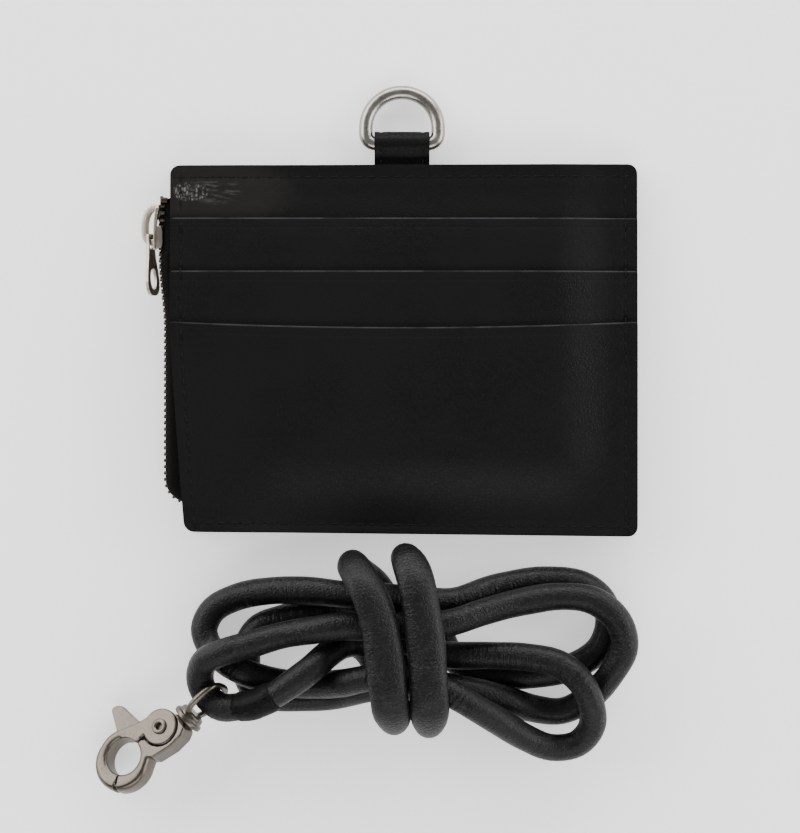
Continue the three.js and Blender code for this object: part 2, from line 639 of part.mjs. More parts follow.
// The slider: two plates joined by the diamond, two flanges and the bridge that carries the puller
function zipSlider() {
  const tail = SLIDER_TOP - SLIDER_LENGTH;
  const nose = SLIDER_TOP;
  const outer = standingPlate(roundedOutline([
    [tail, POCKET_MIDDLE - TAIL_WIDTH / 2, 0.8],
    [nose - 3.2, POCKET_MIDDLE - NOSE_WIDTH / 2, 1],
    [nose, POCKET_MIDDLE - NOSE_WIDTH / 2 + 0.9, 1.2],
    [nose, POCKET_MIDDLE + NOSE_WIDTH / 2 - 0.9, 1.2],
    [nose - 3.2, POCKET_MIDDLE + NOSE_WIDTH / 2, 1],
    [tail, POCKET_MIDDLE + TAIL_WIDTH / 2, 0.8],
  ]), SLIDER_FACE, SLIDER_OUTER_BACK, 0.15);
  const innerPlate = standingPlate(roundedOutline([
    [tail, POCKET_MIDDLE - INNER_PLATE_WIDTH / 2, 0.6],
    [nose, POCKET_MIDDLE - INNER_PLATE_WIDTH / 2, 0.9],
    [nose, POCKET_MIDDLE + INNER_PLATE_WIDTH / 2, 0.9],
    [tail, POCKET_MIDDLE + INNER_PLATE_WIDTH / 2, 0.6],
  ]), SLIDER_INNER_BACK, SLIDER_INNER_FACE, 0.1);
  const diamond = standingPlate([
    [nose - 3.2, POCKET_MIDDLE],
    [nose - 1.4, POCKET_MIDDLE - DIAMOND_HALF],
    [nose - 0.3, POCKET_MIDDLE - DIAMOND_HALF * 0.8],
    [nose - 0.3, POCKET_MIDDLE + DIAMOND_HALF * 0.8],
    [nose - 1.4, POCKET_MIDDLE + DIAMOND_HALF],
  ], SLIDER_OUTER_BACK - SLIDER_PLATE / 2, SLIDER_INNER_BACK + SLIDER_PLATE / 2, 0);
  let body = solid(outer).add(solid(innerPlate)).add(solid(diamond));
  for (const side of [-1, 1]) {
    const near = POCKET_MIDDLE + side * (BEAD_HIGH + FLANGE_CLEARANCE);
    const far = near + side * FLANGE;
    const flange = standingPlate([
      [tail + 0.3, Math.min(near, far)],
      [tail + FLANGE_LENGTH, Math.min(near, far)],
      [tail + FLANGE_LENGTH, Math.max(near, far)],
      [tail + 0.3, Math.max(near, far)],
    ], SLIDER_OUTER_BACK - SLIDER_PLATE / 2, CHAIN_INNER - 0.1, 0);
    body = body.add(solid(flange));
  }
  return piece('zip_slider', geometryOf(body.add(solid(bridge()))), NICKEL);
}

const BRIDGE_FOOT = SLIDER_TOP - SLIDER_LENGTH + 1;

// The arch over the outer plate, drawn in X and Y
function bridge() {
  const top = SLIDER_FACE - BRIDGE_RISE;
  const under = top + BRIDGE_STRIP;
  const root = SLIDER_FACE + SLIDER_PLATE / 2;
  const head = BRIDGE_FOOT + BRIDGE_LENGTH;
  const arch = roundedOutline([
    [root, BRIDGE_FOOT, 0],
    [root, head, 0],
    [top, head - 0.6, 1.6],
    [top, BRIDGE_FOOT + 0.3, 1.6],
  ]);
  const shape = shapeOf(arch);
  shape.holes.push(shapeOf(roundedOutline([
    [SLIDER_FACE, BRIDGE_FOOT + 1.3, 0],
    [SLIDER_FACE, head - 1.3, 0],
    [under, head - 1.7, 0.7],
    [under, BRIDGE_FOOT + 1.3, 0.7],
  ])));
  return plate(shape, POCKET_MIDDLE - BRIDGE_WIDTH / 2, POCKET_MIDDLE + BRIDGE_WIDTH / 2, 0.15, 1);
}

// The puller hangs from the bridge's lower corner on its own end bar
function zipPull() {
  const half = PULL_WIDTH / 2;
  const top = PULL_BAR / 2;
  const low = top - PULL_LENGTH;
  const shape = shapeOf(roundedOutline([
    [-half + 0.2, top, 0.5],
    [-half, top - 5, 0],
    [-half, low, 1.9],
    [half, low, 1.9],
    [half, top - 5, 0],
    [half - 0.2, top, 0.5],
  ]));
  const eye = PULL_EYE_WIDTH / 2;
  shape.holes.push(shapeOf(roundedOutline([
    [-eye, -top, 0.3],
    [-eye, -top - PULL_EYE_LENGTH, 0.6],
    [eye, -top - PULL_EYE_LENGTH, 0.6],
    [eye, -top, 0.3],
  ])));
  const hole = PULL_HOLE_WIDTH / 2;
  const holeLow = low + 1.5;
  shape.holes.push(shapeOf(roundedOutline([
    [-hole, holeLow, 0.9],
    [-hole, holeLow + PULL_HOLE_LENGTH, 0.9],
    [hole, holeLow + PULL_HOLE_LENGTH, 0.9],
    [hole, holeLow, 0.9],
  ])));
  const geometry = plate(shape, -PULL_THICKNESS / 2, PULL_THICKNESS / 2, 0.15, 1);
  const mesh = piece('zip_pull', geometry, NICKEL);
  mesh.position.set(PULL_HINGE[0], PULL_HINGE[1], POCKET_MIDDLE);
  mesh.rotation.y = -Math.PI / 2 + PULL_ROLL;
  return mesh;
}

const PULL_HINGE = [
  SLIDER_FACE - BRIDGE_RISE + BRIDGE_STRIP + PULL_THICKNESS / 2 + 0.3,
  BRIDGE_FOOT + 1.3 + PULL_BAR / 2 + 0.3,
];

// The direction of a path at each of its points
function directions(centres, closed) {
  const count = centres.length;
  return centres.map((_, i) => {
    const before = centres[closed ? (i + count - 1) % count : Math.max(0, i - 1)];
    const after = centres[closed ? (i + 1) % count : Math.min(count - 1, i + 1)];
    return after.clone().sub(before).normalize();
  });
}

// Rings of a tube round a list of centres, closed on itself or capped at both ends
function tube(centres, radii, sides, closed, tangents = directions(centres, closed)) {
  const count = centres.length;
  const positions = [];
  const indices = [];
  const first = tangents[0];
  const aside = Math.abs(first.z) < 0.9 ? new THREE.Vector3(0, 0, 1) : new THREE.Vector3(1, 0, 0);
  let normal = aside.clone().cross(first).normalize();
  for (let i = 0; i < count; i += 1) {
    const tangent = tangents[i];
    normal = normal.clone().addScaledVector(tangent, -normal.dot(tangent)).normalize();
    const binormal = tangent.clone().cross(normal);
    for (let k = 0; k < sides; k += 1) {
      const angle = ((k + 0.5) / sides) * Math.PI * 2;
      const p = centres[i].clone()
        .addScaledVector(normal, Math.cos(angle) * radii[i])
        .addScaledVector(binormal, Math.sin(angle) * radii[i]);
      positions.push(p.x, p.y, p.z);
    }
  }
  const rings = closed ? count : count - 1;
  for (let i = 0; i < rings; i += 1) {
    for (let k = 0; k < sides; k += 1) {
      const a = i * sides + k;
      const b = i * sides + ((k + 1) % sides);
      const c = ((i + 1) % count) * sides + ((k + 1) % sides);
      const d = ((i + 1) % count) * sides + k;
      indices.push(a, b, c, a, c, d);
    }
  }
  if (!closed) {
    for (let k = 1; k < sides - 1; k += 1) {
      indices.push(0, k + 1, k);
      const end = (count - 1) * sides;
      indices.push(end, end + k, end + k + 1);
    }
  }
  const geometry = new THREE.BufferGeometry();
  geometry.setAttribute('position', new THREE.Float32BufferAttribute(positions, 3));
  geometry.setIndex(indices);
  geometry.computeVertexNormals();
  return geometry;
}

// D-ring: a straight bar, two round corners and a round bow, drawn in X and Y from the bar's middle
function dRingGeometry() {
  const half = (RING_INNER_WIDTH + RING_WIRE) / 2;
  const path = new THREE.CurvePath();
  const bowY = RING_REACH - half;
  const corner = Math.min(RING_CORNER, half - 1);
  const right = new THREE.QuadraticBezierCurve3(
    new THREE.Vector3(half - corner, 0, 0),
    new THREE.Vector3(half, 0, 0),
    new THREE.Vector3(half, corner, 0),
  );
  const left = new THREE.QuadraticBezierCurve3(
    new THREE.Vector3(-half, corner, 0),
    new THREE.Vector3(-half, 0, 0),
    new THREE.Vector3(-half + corner, 0, 0),
  );
  path.add(new THREE.LineCurve3(left.v2, right.v0));
  path.add(right);
  path.add(new THREE.LineCurve3(right.v2, new THREE.Vector3(half, bowY, 0)));
  const centres = path.getSpacedPoints(12).slice(0, -1);
  const bowSteps = 18;
  for (let i = 0; i < bowSteps; i += 1) {
    const angle = (i / bowSteps) * Math.PI;
    centres.push(new THREE.Vector3(half * Math.cos(angle), bowY + half * Math.sin(angle), 0));
  }
  centres.push(new THREE.Vector3(-half, bowY, 0));
  centres.push(...left.getPoints(4).slice(0, -1));
  return tube(centres, centres.map(() => RING_WIRE / 2), 10, true);
}

const BAR_Y = TOP + BAR_ABOVE_EDGE;
const RING_TILT = Math.asin((BAR_Z - RING_WIRE / 2 - 0.05) / RING_REACH);

function dRing() {
  const mesh = piece('d_ring', dRingGeometry(), NICKEL);
  mesh.position.set(TAB_SHIFT, BAR_Y, BAR_Z);
  mesh.rotation.x = -RING_TILT;
  return mesh;
}

// The tab: a strip folded round the bar, with both ends sewn into the holder. Drawn in Y and Z
function dRingTab() {
  const inner = RING_WIRE / 2 + RUNNING_GAP;
  const outer = inner + TAB_LEATHER;
  const slit = LAYER_GAP / 2;
  const leg = slit + TAB_LEATHER;
  const tail = TOP - TAB_TAIL;
  const arc = (radius, height, outward) => {
    const start = Math.PI - Math.asin(height / radius);
    const points = [];
    for (let i = 0; i <= 2 * ARC_STEPS; i += 1) {
      const angle = THREE.MathUtils.lerp(start, -start, i / (2 * ARC_STEPS));
      points.push([BAR_Y + radius * Math.cos(angle), BAR_Z + radius * Math.sin(angle)]);
    }
    return outward ? points : points.reverse();
  };
  const points = [
    [tail, BAR_Z + leg],
    ...arc(outer, leg, true),
    [tail, BAR_Z - leg],
    [tail, BAR_Z - slit],
    ...arc(inner, slit, false),
    [tail, BAR_Z + slit],
  ];
  const geometry = standingPlate(points, -TAB_WIDTH / 2, TAB_WIDTH / 2, 0);
  geometry.translate(TAB_SHIFT, 0, 0);
  return piece('d_ring_tab', geometry, BLACK_LEATHER);
}

const vectorOf = ([x, y, z]) => new THREE.Vector3(x, y, z);

// The least distance between parts of the cord that don't follow each other, less its diameter
function leastGap(points) {
  const apart = Math.round(CORD_DIAMETER * 2.3);
  let least = Infinity;
  for (let i = 0; i < points.length; i += 1) {
    for (let j = i + apart; j < points.length; j += 1) {
      least = Math.min(least, points[i].distanceTo(points[j]));
    }
  }
  return least - CORD_DIAMETER;
}

// The lanyard: one unbroken round cord, and the sewn join of its two ends
function lanyard() {
  const route = [...CORD_ROUTE, JOIN_MIDDLE].map(vectorOf);
  const loop = new THREE.CatmullRomCurve3(route, true, 'centripetal');
  const fineness = 20;
  loop.arcLengthDivisions = fineness * route.length;
  const total = loop.getLength();
  const cordLength = loop.getLengths()[fineness * (CORD_ROUTE.length - 1)];
  // A piece of the loop between two distances from the cord's first end
  const span = (name, from, to, diameter, steps) => {
    const along = Array.from({ length: steps + 1 }, (_, i) => THREE.MathUtils.lerp(from, to, i / steps) / total);
    const centres = along.map((u) => loop.getPointAt(u));
    const tangents = along.map((u) => loop.getTangentAt(u));
    const radii = along.map(() => diameter / 2);
    return piece(name, tube(centres, radii, CORD_SIDES, false, tangents), CORD_LEATHER);
  };
  const points = loop.getSpacedPoints(Math.round(total)).slice(0, Math.floor(cordLength));
  console.log(`cord length ${cordLength.toFixed(0)} mm, least gap to itself ${leastGap(points).toFixed(2)} mm`);
  return [
    span('lanyard_cord', 0, cordLength, CORD_DIAMETER, Math.round(cordLength / CORD_STEP)),
    span('cord_join', cordLength + BUTT_GAP, total - BUTT_GAP, JOIN_DIAMETER, JOIN_STEPS),
  ];
}

// A circle as an outline of straight sides
function circle(x, y, radius) {
  const sides = 2 * ARC_STEPS + 4;
  return Array.from({ length: sides }, (_, i) => {
    const angle = (i / sides) * Math.PI * 2;
    return [x + radius * Math.cos(angle), y + radius * Math.sin(angle)];
  });
}

function disc(x, y, radius) {
  return shapeOf(circle(x, y, radius));
}

function drum(x, y, radius, low, high) {
  return solid(plate(disc(x, y, radius), low, high));
}

// The side of the hook's loop that belongs to one jaw, as a wedge seen from the loop's middle
function loopSector(from, to) {
  const reach = LOOP_RADIUS * 2.2;
  const points = [[LOOP_HOLE_CENTRE[0], LOOP_HOLE_CENTRE[1]]];
  const steps = 8;
  for (let i = 0; i <= steps; i += 1) {
    const angle = THREE.MathUtils.lerp(from, to, i / steps);
    points.push([
      LOOP_HOLE_CENTRE[0] + reach * Math.cos(angle),
      LOOP_HOLE_CENTRE[1] + reach * Math.sin(angle),
    ]);
  }
  return solid(plate(shapeOf(points), -HOOK_THICKNESS, HOOK_THICKNESS));
}

function hookLoop() {
  const half = HOOK_THICKNESS / 2;
  const shape = disc(...LOOP_CENTRE, LOOP_RADIUS);
  shape.holes.push(disc(...LOOP_HOLE_CENTRE, LOOP_HOLE_RADIUS));
  return solid(plate(shape, -half, half, LOOP_ROUNDING, 3));
}

const LAP_LOW = -LAP_GAP / 2;
const LAP_HIGH = LAP_GAP / 2;
const RIVET_BORE = RIVET_RADIUS + RUNNING_GAP;
const SPRING_BORE = SPRING_RADIUS + SPRING_WIRE / 2 + 0.3;

// Fixed jaw, lug under the pivot and neck of the swivel, in one casting
function hookBody() {
  const half = HOOK_THICKNESS / 2;
  const open = SPLIT_ANGLE + SPLIT_GAP / (2 * LOOP_RADIUS);
  const arm = hookLoop().intersect(loopSector(open, Math.PI * 2 - 0.04));
  const shoulder = solid(plate(shapeOf(roundedOutline([
    [-7.6, -2.6, 0],
    [-5.6, -4.6, 0.8],
    [-1, -5.6, 1.4],
    [2.6, -5.5, 1.6],
    [4.4, SWIVEL_SIDE - NECK_WIDTH / 2, 0.7],
    [4.6, 0.1, 0.7],
    [2.4, 0.5, 0],
    [-5.2, 0.5, 0.6],
  ])), -half, half, DISC_ROUNDING, 1));
  const neck = solid(plate(shapeOf(roundedOutline([
    [3.4, SWIVEL_SIDE - NECK_WIDTH / 2, 0],
    [NECK_END, SWIVEL_SIDE - NECK_WIDTH / 2 + 0.4, 0.9],
    [NECK_END, SWIVEL_SIDE + NECK_WIDTH / 2 - 0.2, 0.9],
    [3.4, SWIVEL_SIDE + NECK_WIDTH / 2, 0],
  ])), -NECK_THICKNESS / 2, NECK_THICKNESS / 2, DISC_ROUNDING, 1));
  const lug = solid(plate(disc(0, 0, DISC_RADIUS - 0.1), -half, LAP_LOW, 0));
  const clearance = drum(0, 0, DISC_RADIUS + LAP_GAP, LAP_LOW, HOOK_THICKNESS);
  const bore = drum(0, 0, RIVET_BORE, -HOOK_THICKNESS, HOOK_THICKNESS);
  const springRoom = drum(0, 0, SPRING_BORE, LAP_LOW - SPRING_ROOM, HOOK_THICKNESS);
  const hole = drum(...LOOP_HOLE_CENTRE, LOOP_HOLE_RADIUS, -HOOK_THICKNESS, HOOK_THICKNESS);
  const socket = studAlong(STUD_RADIUS + RUNNING_GAP, NECK_END - STUD_LENGTH - RUNNING_GAP, NECK_END + 1);
  const cut = arm.add(shoulder.subtract(hole)).add(neck).add(lug)
    .subtract(clearance).subtract(bore).subtract(springRoom).subtract(socket);
  return piece('hook_body', geometryOf(cut), NICKEL);
}

// A round bar along the swivel's axis
function studAlong(radius, from, to) {
  const geometry = new THREE.CylinderGeometry(radius, radius, to - from, 16);
  geometry.rotateZ(Math.PI / 2);
  geometry.translate((from + to) / 2, SWIVEL_SIDE, 0);
  return solid(geometry);
}

// Moving jaw: half of the loop, the disc over the pivot and the thumb trigger
function hookJaw() {
  const half = HOOK_THICKNESS / 2;
  const close = SPLIT_ANGLE - SPLIT_GAP / (2 * LOOP_RADIUS);
  const arm = hookLoop().intersect(loopSector(0.02, close));
  const neck = solid(plate(shapeOf(roundedOutline([
    [-7.4, 1.2, 0],
    [-3, 1.2, 0],
    [-0.8, 4, 0],
    [-3.4, 4.7, 0.6],
    [-8.2, 6.6, 0],
    [-8.8, 5, 0],
  ])), -half, half, DISC_ROUNDING, 1));
  const trigger = solid(plate(shapeOf(roundedOutline([
    [-3.2, 3.4, 0],
    [-4, TRIGGER_TIP - 0.4, 0.6],
    [-5.6, TRIGGER_TIP, 0.6],
    [-7.9, 5.8, 0],
  ])), half - TRIGGER_THICKNESS - 0.1, half - 0.1, 0.3, 1));
  const cover = solid(plate(disc(0, 0, DISC_RADIUS), LAP_HIGH, half, DISC_ROUNDING, 1));
  const lugRoom = drum(0, 0, DISC_RADIUS + LAP_GAP, -HOOK_THICKNESS, LAP_HIGH);
  const bore = drum(0, 0, RIVET_BORE, -HOOK_THICKNESS, HOOK_THICKNESS);
  const springRoom = drum(0, 0, SPRING_BORE, -HOOK_THICKNESS, LAP_HIGH + SPRING_ROOM);
  const hole = drum(...LOOP_HOLE_CENTRE, LOOP_HOLE_RADIUS, -HOOK_THICKNESS, HOOK_THICKNESS);
  const cut = arm.add(neck.subtract(hole)).subtract(lugRoom).add(trigger).add(cover)
    .subtract(bore).subtract(springRoom);
  return piece('hook_jaw', geometryOf(cut), NICKEL);
}

// Tubular rivet through both lugs, flared over each
function hookRivet() {
  const face = HOOK_THICKNESS / 2 + 0.2;
  const end = face + RIVET_HEAD;
  const half = [
    [RIVET_RADIUS, face],
    [RIVET_HEAD_RADIUS, face],
    [RIVET_HEAD_RADIUS - 0.1, end - 0.1],
    [RIVET_HEAD_RADIUS - 0.35, end],
    [RIVET_RECESS_RADIUS + 0.15, end],
    [RIVET_RECESS_RADIUS, end - 0.2],
    [RIVET_RECESS_RADIUS, end - RIVET_RECESS],
    [0, end - RIVET_RECESS],
  ];
  const profile = [
    ...half.slice().reverse(),
    ...half.map(([r, h]) => [r, -h]),
  ].map(([r, h]) => new THREE.Vector2(r, h)).reverse();
  const geometry = new THREE.LatheGeometry(profile, 20);
  geometry.rotateX(Math.PI / 2);
  return piece('hook_rivet', geometryOf(solid(geometry)), NICKEL);
}

// Small torsion spring round the rivet, in the recesses of the two lugs
function jawSpring() {
  const centres = [];
  const steps = SPRING_TURNS * SPRING_STEPS;
  const rise = 2 * (SPRING_ROOM + LAP_HIGH - SPRING_WIRE / 2 - 0.15);
  for (let i = 0; i <= steps; i += 1) {
    const angle = (i / SPRING_STEPS) * Math.PI * 2;
    centres.push(new THREE.Vector3(
      SPRING_RADIUS * Math.cos(angle),
      SPRING_RADIUS * Math.sin(angle),
      THREE.MathUtils.lerp(-rise / 2, rise / 2, i / steps),
    ));
  }
  return piece('jaw_spring', tube(centres, centres.map(() => SPRING_WIRE / 2), SPRING_SIDES, false), NICKEL);
}

// Swivel: stud, collar and the bow that the cord runs through
function swivelEye() {
  const start = NECK_END + RUNNING_GAP;
  const rim = start + COLLAR_RIM;
  const barrel = rim + BARREL_LENGTH;
  const profile = [
    [0, NECK_END - STUD_LENGTH],
    [STUD_RADIUS, NECK_END - STUD_LENGTH],
    [STUD_RADIUS, start],
    [COLLAR_RADIUS - 0.3, start],
    [COLLAR_RADIUS, start + 0.3],
    [COLLAR_RADIUS, rim - 0.2],
    [BARREL_RADIUS + 0.2, rim],
    [BARREL_RADIUS, barrel - 0.5],
    [BARREL_RADIUS - 0.5, barrel],
    [0, barrel],
  ].map(([r, h]) => new THREE.Vector2(r, h));
  const collar = new THREE.LatheGeometry(profile, 20);
  collar.rotateZ(-Math.PI / 2);
  const halfLength = (EYE_INNER_LENGTH + EYE_STRAP) / 2;
  const halfWidth = (EYE_INNER_WIDTH + EYE_STRAP) / 2;
  const middle = barrel + EYE_INNER_LENGTH / 2 - 0.2;
  const centres = [];
  const steps = 28;
  for (let i = 0; i < steps; i += 1) {
    const angle = (i / steps) * Math.PI * 2;
    const c = Math.cos(angle);
    const s = Math.sin(angle);
    centres.push(new THREE.Vector3(
      middle + halfLength * Math.sign(c) * Math.abs(c) ** 0.8,
      halfWidth * Math.sign(s) * Math.abs(s) ** 0.8,
      0,
    ));
  }
  const bow = tube(centres, centres.map(() => EYE_STRAP / 2), 8, true);
  bow.rotateX(EYE_ROLL + HOOK_ROLL);
  const body = solid(collar).add(solid(bow));
  const mesh = piece('swivel_eye', geometryOf(body), NICKEL);
  mesh.position.set(0, SWIVEL_SIDE, 0);
  return mesh;
}

// Assembly
const card = new THREE.Group();
card.add(
  backCover(),
  windowFilm(),
  lining('pocket_lining_rear', REAR_LINING_BASE, false),
  lining('pocket_lining_front', FRONT_LINING_BASE, true),
  leatherSheet('main_panel', topEdge, MAIN_BASE, MAIN_LEATHER, BODY_CORNER),
  leatherSheet('slot_panel_upper', () => UPPER_SLOT, UPPER_BASE, SLOT_LEATHER),
  leatherSheet('slot_panel_middle', () => MIDDLE_SLOT, MIDDLE_BASE, SLOT_LEATHER),
  leatherSheet('front_panel', frontEdge, FRONT_BASE, SLOT_LEATHER),
  dRingTab(),
  dRing(),
);

const zip = new THREE.Group();
const stopReach = (BEAD_LOW + BEAD_HIGH) / 2 + SPREAD;
const stopAbove = -(STOP_LENGTH / 2 + RUNNING_GAP);
zip.add(
  zipTape('zip_tape_front', FRONT_TAPE_BASE, 1),
  zipTape('zip_tape_rear', REAR_TAPE_BASE, -1),
  toothRow('zip_teeth_front', 1),
  toothRow('zip_teeth_rear', -1),
  zipStop('zip_stop_front', stopAbove, stopReach, STOP_WIDTH),
  zipStop('zip_stop_rear', stopAbove, -stopReach, STOP_WIDTH),
  zipStop('zip_stop_bottom', CHAIN_LENGTH - stopAbove, 0, 2 * BEAD_HIGH),
  zipSlider(),
  zipPull(),
);

const hook = new THREE.Group();
hook.add(hookBody(), hookJaw(), hookRivet(), jawSpring(), swivelEye());
hook.position.set(HOOK_RIVET[0], HOOK_RIVET[1], HOOK_HEIGHT);
hook.rotation.set(-HOOK_ROLL, -HOOK_PITCH, HOOK_HEADING, 'ZYX');

const holder = new THREE.Group();
holder.add(card, zip);

// The origin is on the table, under the middle of the holder with its ring and slider
const group = new THREE.Group();
const parts = new THREE.Group();
parts.add(holder, ...lanyard(), hook);
const box = new THREE.Box3().setFromObject(holder);
parts.position.set(-(box.min.x + box.max.x) / 2, -(box.min.y + box.max.y) / 2, 0);
console.log(`holder shifted by ${parts.position.x.toFixed(3)}, ${parts.position.y.toFixed(3)} mm`);
group.add(parts);

export default group;
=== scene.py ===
# %% [markdown]
# # A leather id card holder with a rolled leather lanyard
# The object is a flat holder of black leather with three card slots in front, an id window at
# the back and a zipped coin pocket between. A D-ring hangs from a leather tab at its top, and a
# round leather lanyard with a swivel trigger hook lies tied in a bundle below it.
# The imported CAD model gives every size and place. This file gives each piece its leather, its
# stitches, its zip and its metal, and it works in metres in the CAD model's own frame.

# %% Load the frame
import math

import bmesh
import bpy
import numpy as np
from mathutils import Matrix, Vector
from mathutils.geometry import tessellate_polygon


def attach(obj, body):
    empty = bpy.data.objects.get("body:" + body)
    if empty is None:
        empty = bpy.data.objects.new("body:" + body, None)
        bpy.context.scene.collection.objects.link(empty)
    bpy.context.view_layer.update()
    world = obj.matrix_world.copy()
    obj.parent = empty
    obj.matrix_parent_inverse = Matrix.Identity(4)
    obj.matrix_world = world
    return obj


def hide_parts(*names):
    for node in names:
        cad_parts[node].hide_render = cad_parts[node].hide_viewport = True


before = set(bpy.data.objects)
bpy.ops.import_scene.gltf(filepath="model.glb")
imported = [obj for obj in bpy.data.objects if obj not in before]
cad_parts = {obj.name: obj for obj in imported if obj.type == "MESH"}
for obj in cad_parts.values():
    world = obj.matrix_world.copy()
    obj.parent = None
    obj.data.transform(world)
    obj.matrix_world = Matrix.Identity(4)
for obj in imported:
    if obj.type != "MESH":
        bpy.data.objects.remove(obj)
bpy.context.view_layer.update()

# %% [markdown]
# All sizes below are in millimetres from the middle of the card section, as a maker would mark them on the
# leather. One shift takes them to the CAD model's own frame, whose origin lies under the middle of the holder
# with its ring and slider, and one factor turns them into metres.

# %% Millimetres to the CAD model's frame
MM = 0.001
SHIFT = (3.1, -9.192, 0)


def in_frame(points):
    return (np.asarray(points, float) + np.array(SHIFT)) * MM


def placed(name, data):
    """A new object in the scene, at the origin."""
    made = bpy.data.objects.new(name, data)
    bpy.context.scene.collection.objects.link(made)
    return made


print("the card section's middle is at", in_frame((0, 0, 0)))

# %% [markdown]
# The photograph was taken from straight above with a long lens, with the holder lying on its
# back. A camera that looks down its own Z axis does this with no turn at all. It stands far off,
# so that the raised loops of the cord hardly grow.

# %% Camera
VIEW_CENTRE = (-0.9, -14.7)
VIEW_HEIGHT = 186.9
CAMERA_HEIGHT = 1250

camera_data = bpy.data.cameras.new("camera")
camera_data.sensor_width = 36
camera_data.lens = camera_data.sensor_width * CAMERA_HEIGHT / VIEW_HEIGHT
camera_data.clip_start = 0.01
camera_data.clip_end = 20
camera = placed("camera", camera_data)
camera.location = in_frame((*VIEW_CENTRE, CAMERA_HEIGHT + 8))
bpy.context.scene.camera = camera
print("the lens is", round(camera_data.lens), "mm")

# %% [markdown]
# The cord's route is the same list of points as in the CAD source. It runs from the sewn join through the
# swivel's eye, forth and back in loops, twice round the whole bundle as a wrap, and back to the join.

# %% The lanyard's route
CORD_DIAMETER = 6.2
THROUGH_THE_EYE = [
    (-37, -79.6, 12), (-40.9, -79.8, 10.7), (-43.7, -77.9, 9.6), (-45.4, -75, 9.5), (-45.6, -71.8, 11.1),
    (-44, -68.9, 13.9), (-40.5, -67.3, 15.9), (-34, -65.5, 14.8), (-27, -63.5, 14.6), (-19.5, -62.2, 16.9),
    (-14.5, -61.5, 17.2), (-8.5, -61.5, 16.8), (-1, -61.3, 16.6), (6, -61.3, 16.5), (11, -60.5, 16),
]
MIDDLE_LOOP_RIGHT = [
    (18, -58.3, 13.4), (26, -56.3, 10.8), (35, -55, 10.2), (42.5, -56, 10.2), (48, -60.5, 10),
    (49.5, -66.5, 8.8), (46.5, -72.5, 7.2), (41.5, -78, 4.4), (35.5, -81, 3.25), (29.5, -80.5, 3.8),
    (23.5, -78.5, 7.4), (16.5, -76.5, 9.6), (11, -75.4, 9.9), (4.5, -74.3, 10.1), (-2.5, -74.4, 10.4),
]
INNER_LOOP_LEFT = [
    (-9, -75.9, 9), (-15.2, -77.4, 4.7), (-22, -78, 3.25), (-28.5, -78, 3.25), (-33, -76.8, 3.25),
    (-35.2, -73.5, 3.3), (-35.4, -69.6, 3.25), (-35, -65.5, 3.25), (-32.5, -62, 3.25), (-27.5, -60.2, 3.25),
    (-20, -58.8, 3.25), (-14, -58.2, 3.4), (-10, -59, 5.6), (-6.5, -60.6, 8.6), (-2.5, -63, 9.9),
]
FRONT_LOOP_RIGHT = [
    (2, -65.5, 9.9), (6.5, -67.5, 9.9), (11.5, -68.2, 9.9), (19.5, -68.2, 10.5), (27, -68.5, 11.2),
    (34.5, -70, 12.4), (39.5, -74, 13.2), (42, -79.5, 11.6), (42, -84.5, 8.4), (38.7, -88.3, 6.4),
    (33, -89, 6.8), (27, -86.5, 9.8), (21.5, -83, 13.4), (16.5, -80, 15.8), (11.5, -77, 16.7),
]
OUTER_LOOP_LEFT = [
    (6, -74.5, 16.9), (-1, -73.2, 17.1), (-7.5, -73, 16.4), (-13.5, -74.2, 13.8), (-19.5, -74.8, 10.2),
    (-26.5, -74.5, 9.4), (-33, -73, 9.8), (-37.3, -71.2, 9.9), (-41, -69, 7.1), (-43.9, -66.2, 4.2),
    (-45, -62.5, 3.3), (-43, -58.3, 3.25), (-37.5, -55.3, 4.2), (-29.5, -53.8, 6.8), (-21, -53.8, 9.2),
    (-13, -54.5, 11.3), (-6.5, -54.7, 12.2), (0, -55.5, 11.2),
]
OUTER_LOOP_RIGHT = [
    (6, -56, 10), (11.5, -56, 8.6), (21.5, -53, 5), (31.5, -51.5, 3.25), (40, -52.5, 3.25),
    (45, -56.5, 3.25), (46, -61.5, 3.25), (44, -67, 3.25), (38, -71, 3.25), (29.5, -72.8, 3.25),
    (21, -73, 3.25), (14, -71.5, 3.25), (10, -67.5, 3.25), (7.5, -61.5, 3.25), (5, -55.5, 3.3),
]
RIGHT_WRAP = [
    (2.3, -50.5, 5.2), (0.6, -47.4, 9.4), (0.4, -46, 14.4), (1.3, -47.3, 19.4), (2.7, -51.5, 22.6),
    (4, -58.5, 23.6), (5, -67, 23.8), (5.5, -74.5, 23.8), (5.6, -80, 21.6), (5.6, -83.2, 16),
    (5.4, -83, 9.6), (4.7, -80, 4.6), (3, -73, 3.25), (0.5, -65.5, 3.25), (-2.5, -58.5, 3.25),
]
LEFT_WRAP = [
    (-6, -52.7, 3.3), (-9.4, -49.6, 5.4), (-11.2, -48, 10), (-11.4, -47.5, 15), (-10.5, -49, 19.8),
    (-8.3, -52.7, 22.8), (-5.9, -59, 23.6), (-4.5, -67, 23.8), (-3.6, -74.5, 23.8), (-2.9, -79.7, 21.6),
    (-2.3, -82.6, 16), (-2.3, -82.4, 9.6), (-3.4, -79.5, 4.4), (-5.4, -73.2, 3.25), (-7.6, -68.5, 3.3),
]
BACK_TO_THE_JOIN = [
    (-10.5, -66, 5.4), (-13.7, -66, 9), (-17, -67.8, 13.6), (-21, -71.2, 16.9), (-25.5, -74.5, 17.3),
    (-29.3, -77, 16.2),
]
JOIN_MIDDLE = (-33.2, -78.9, 14.2)
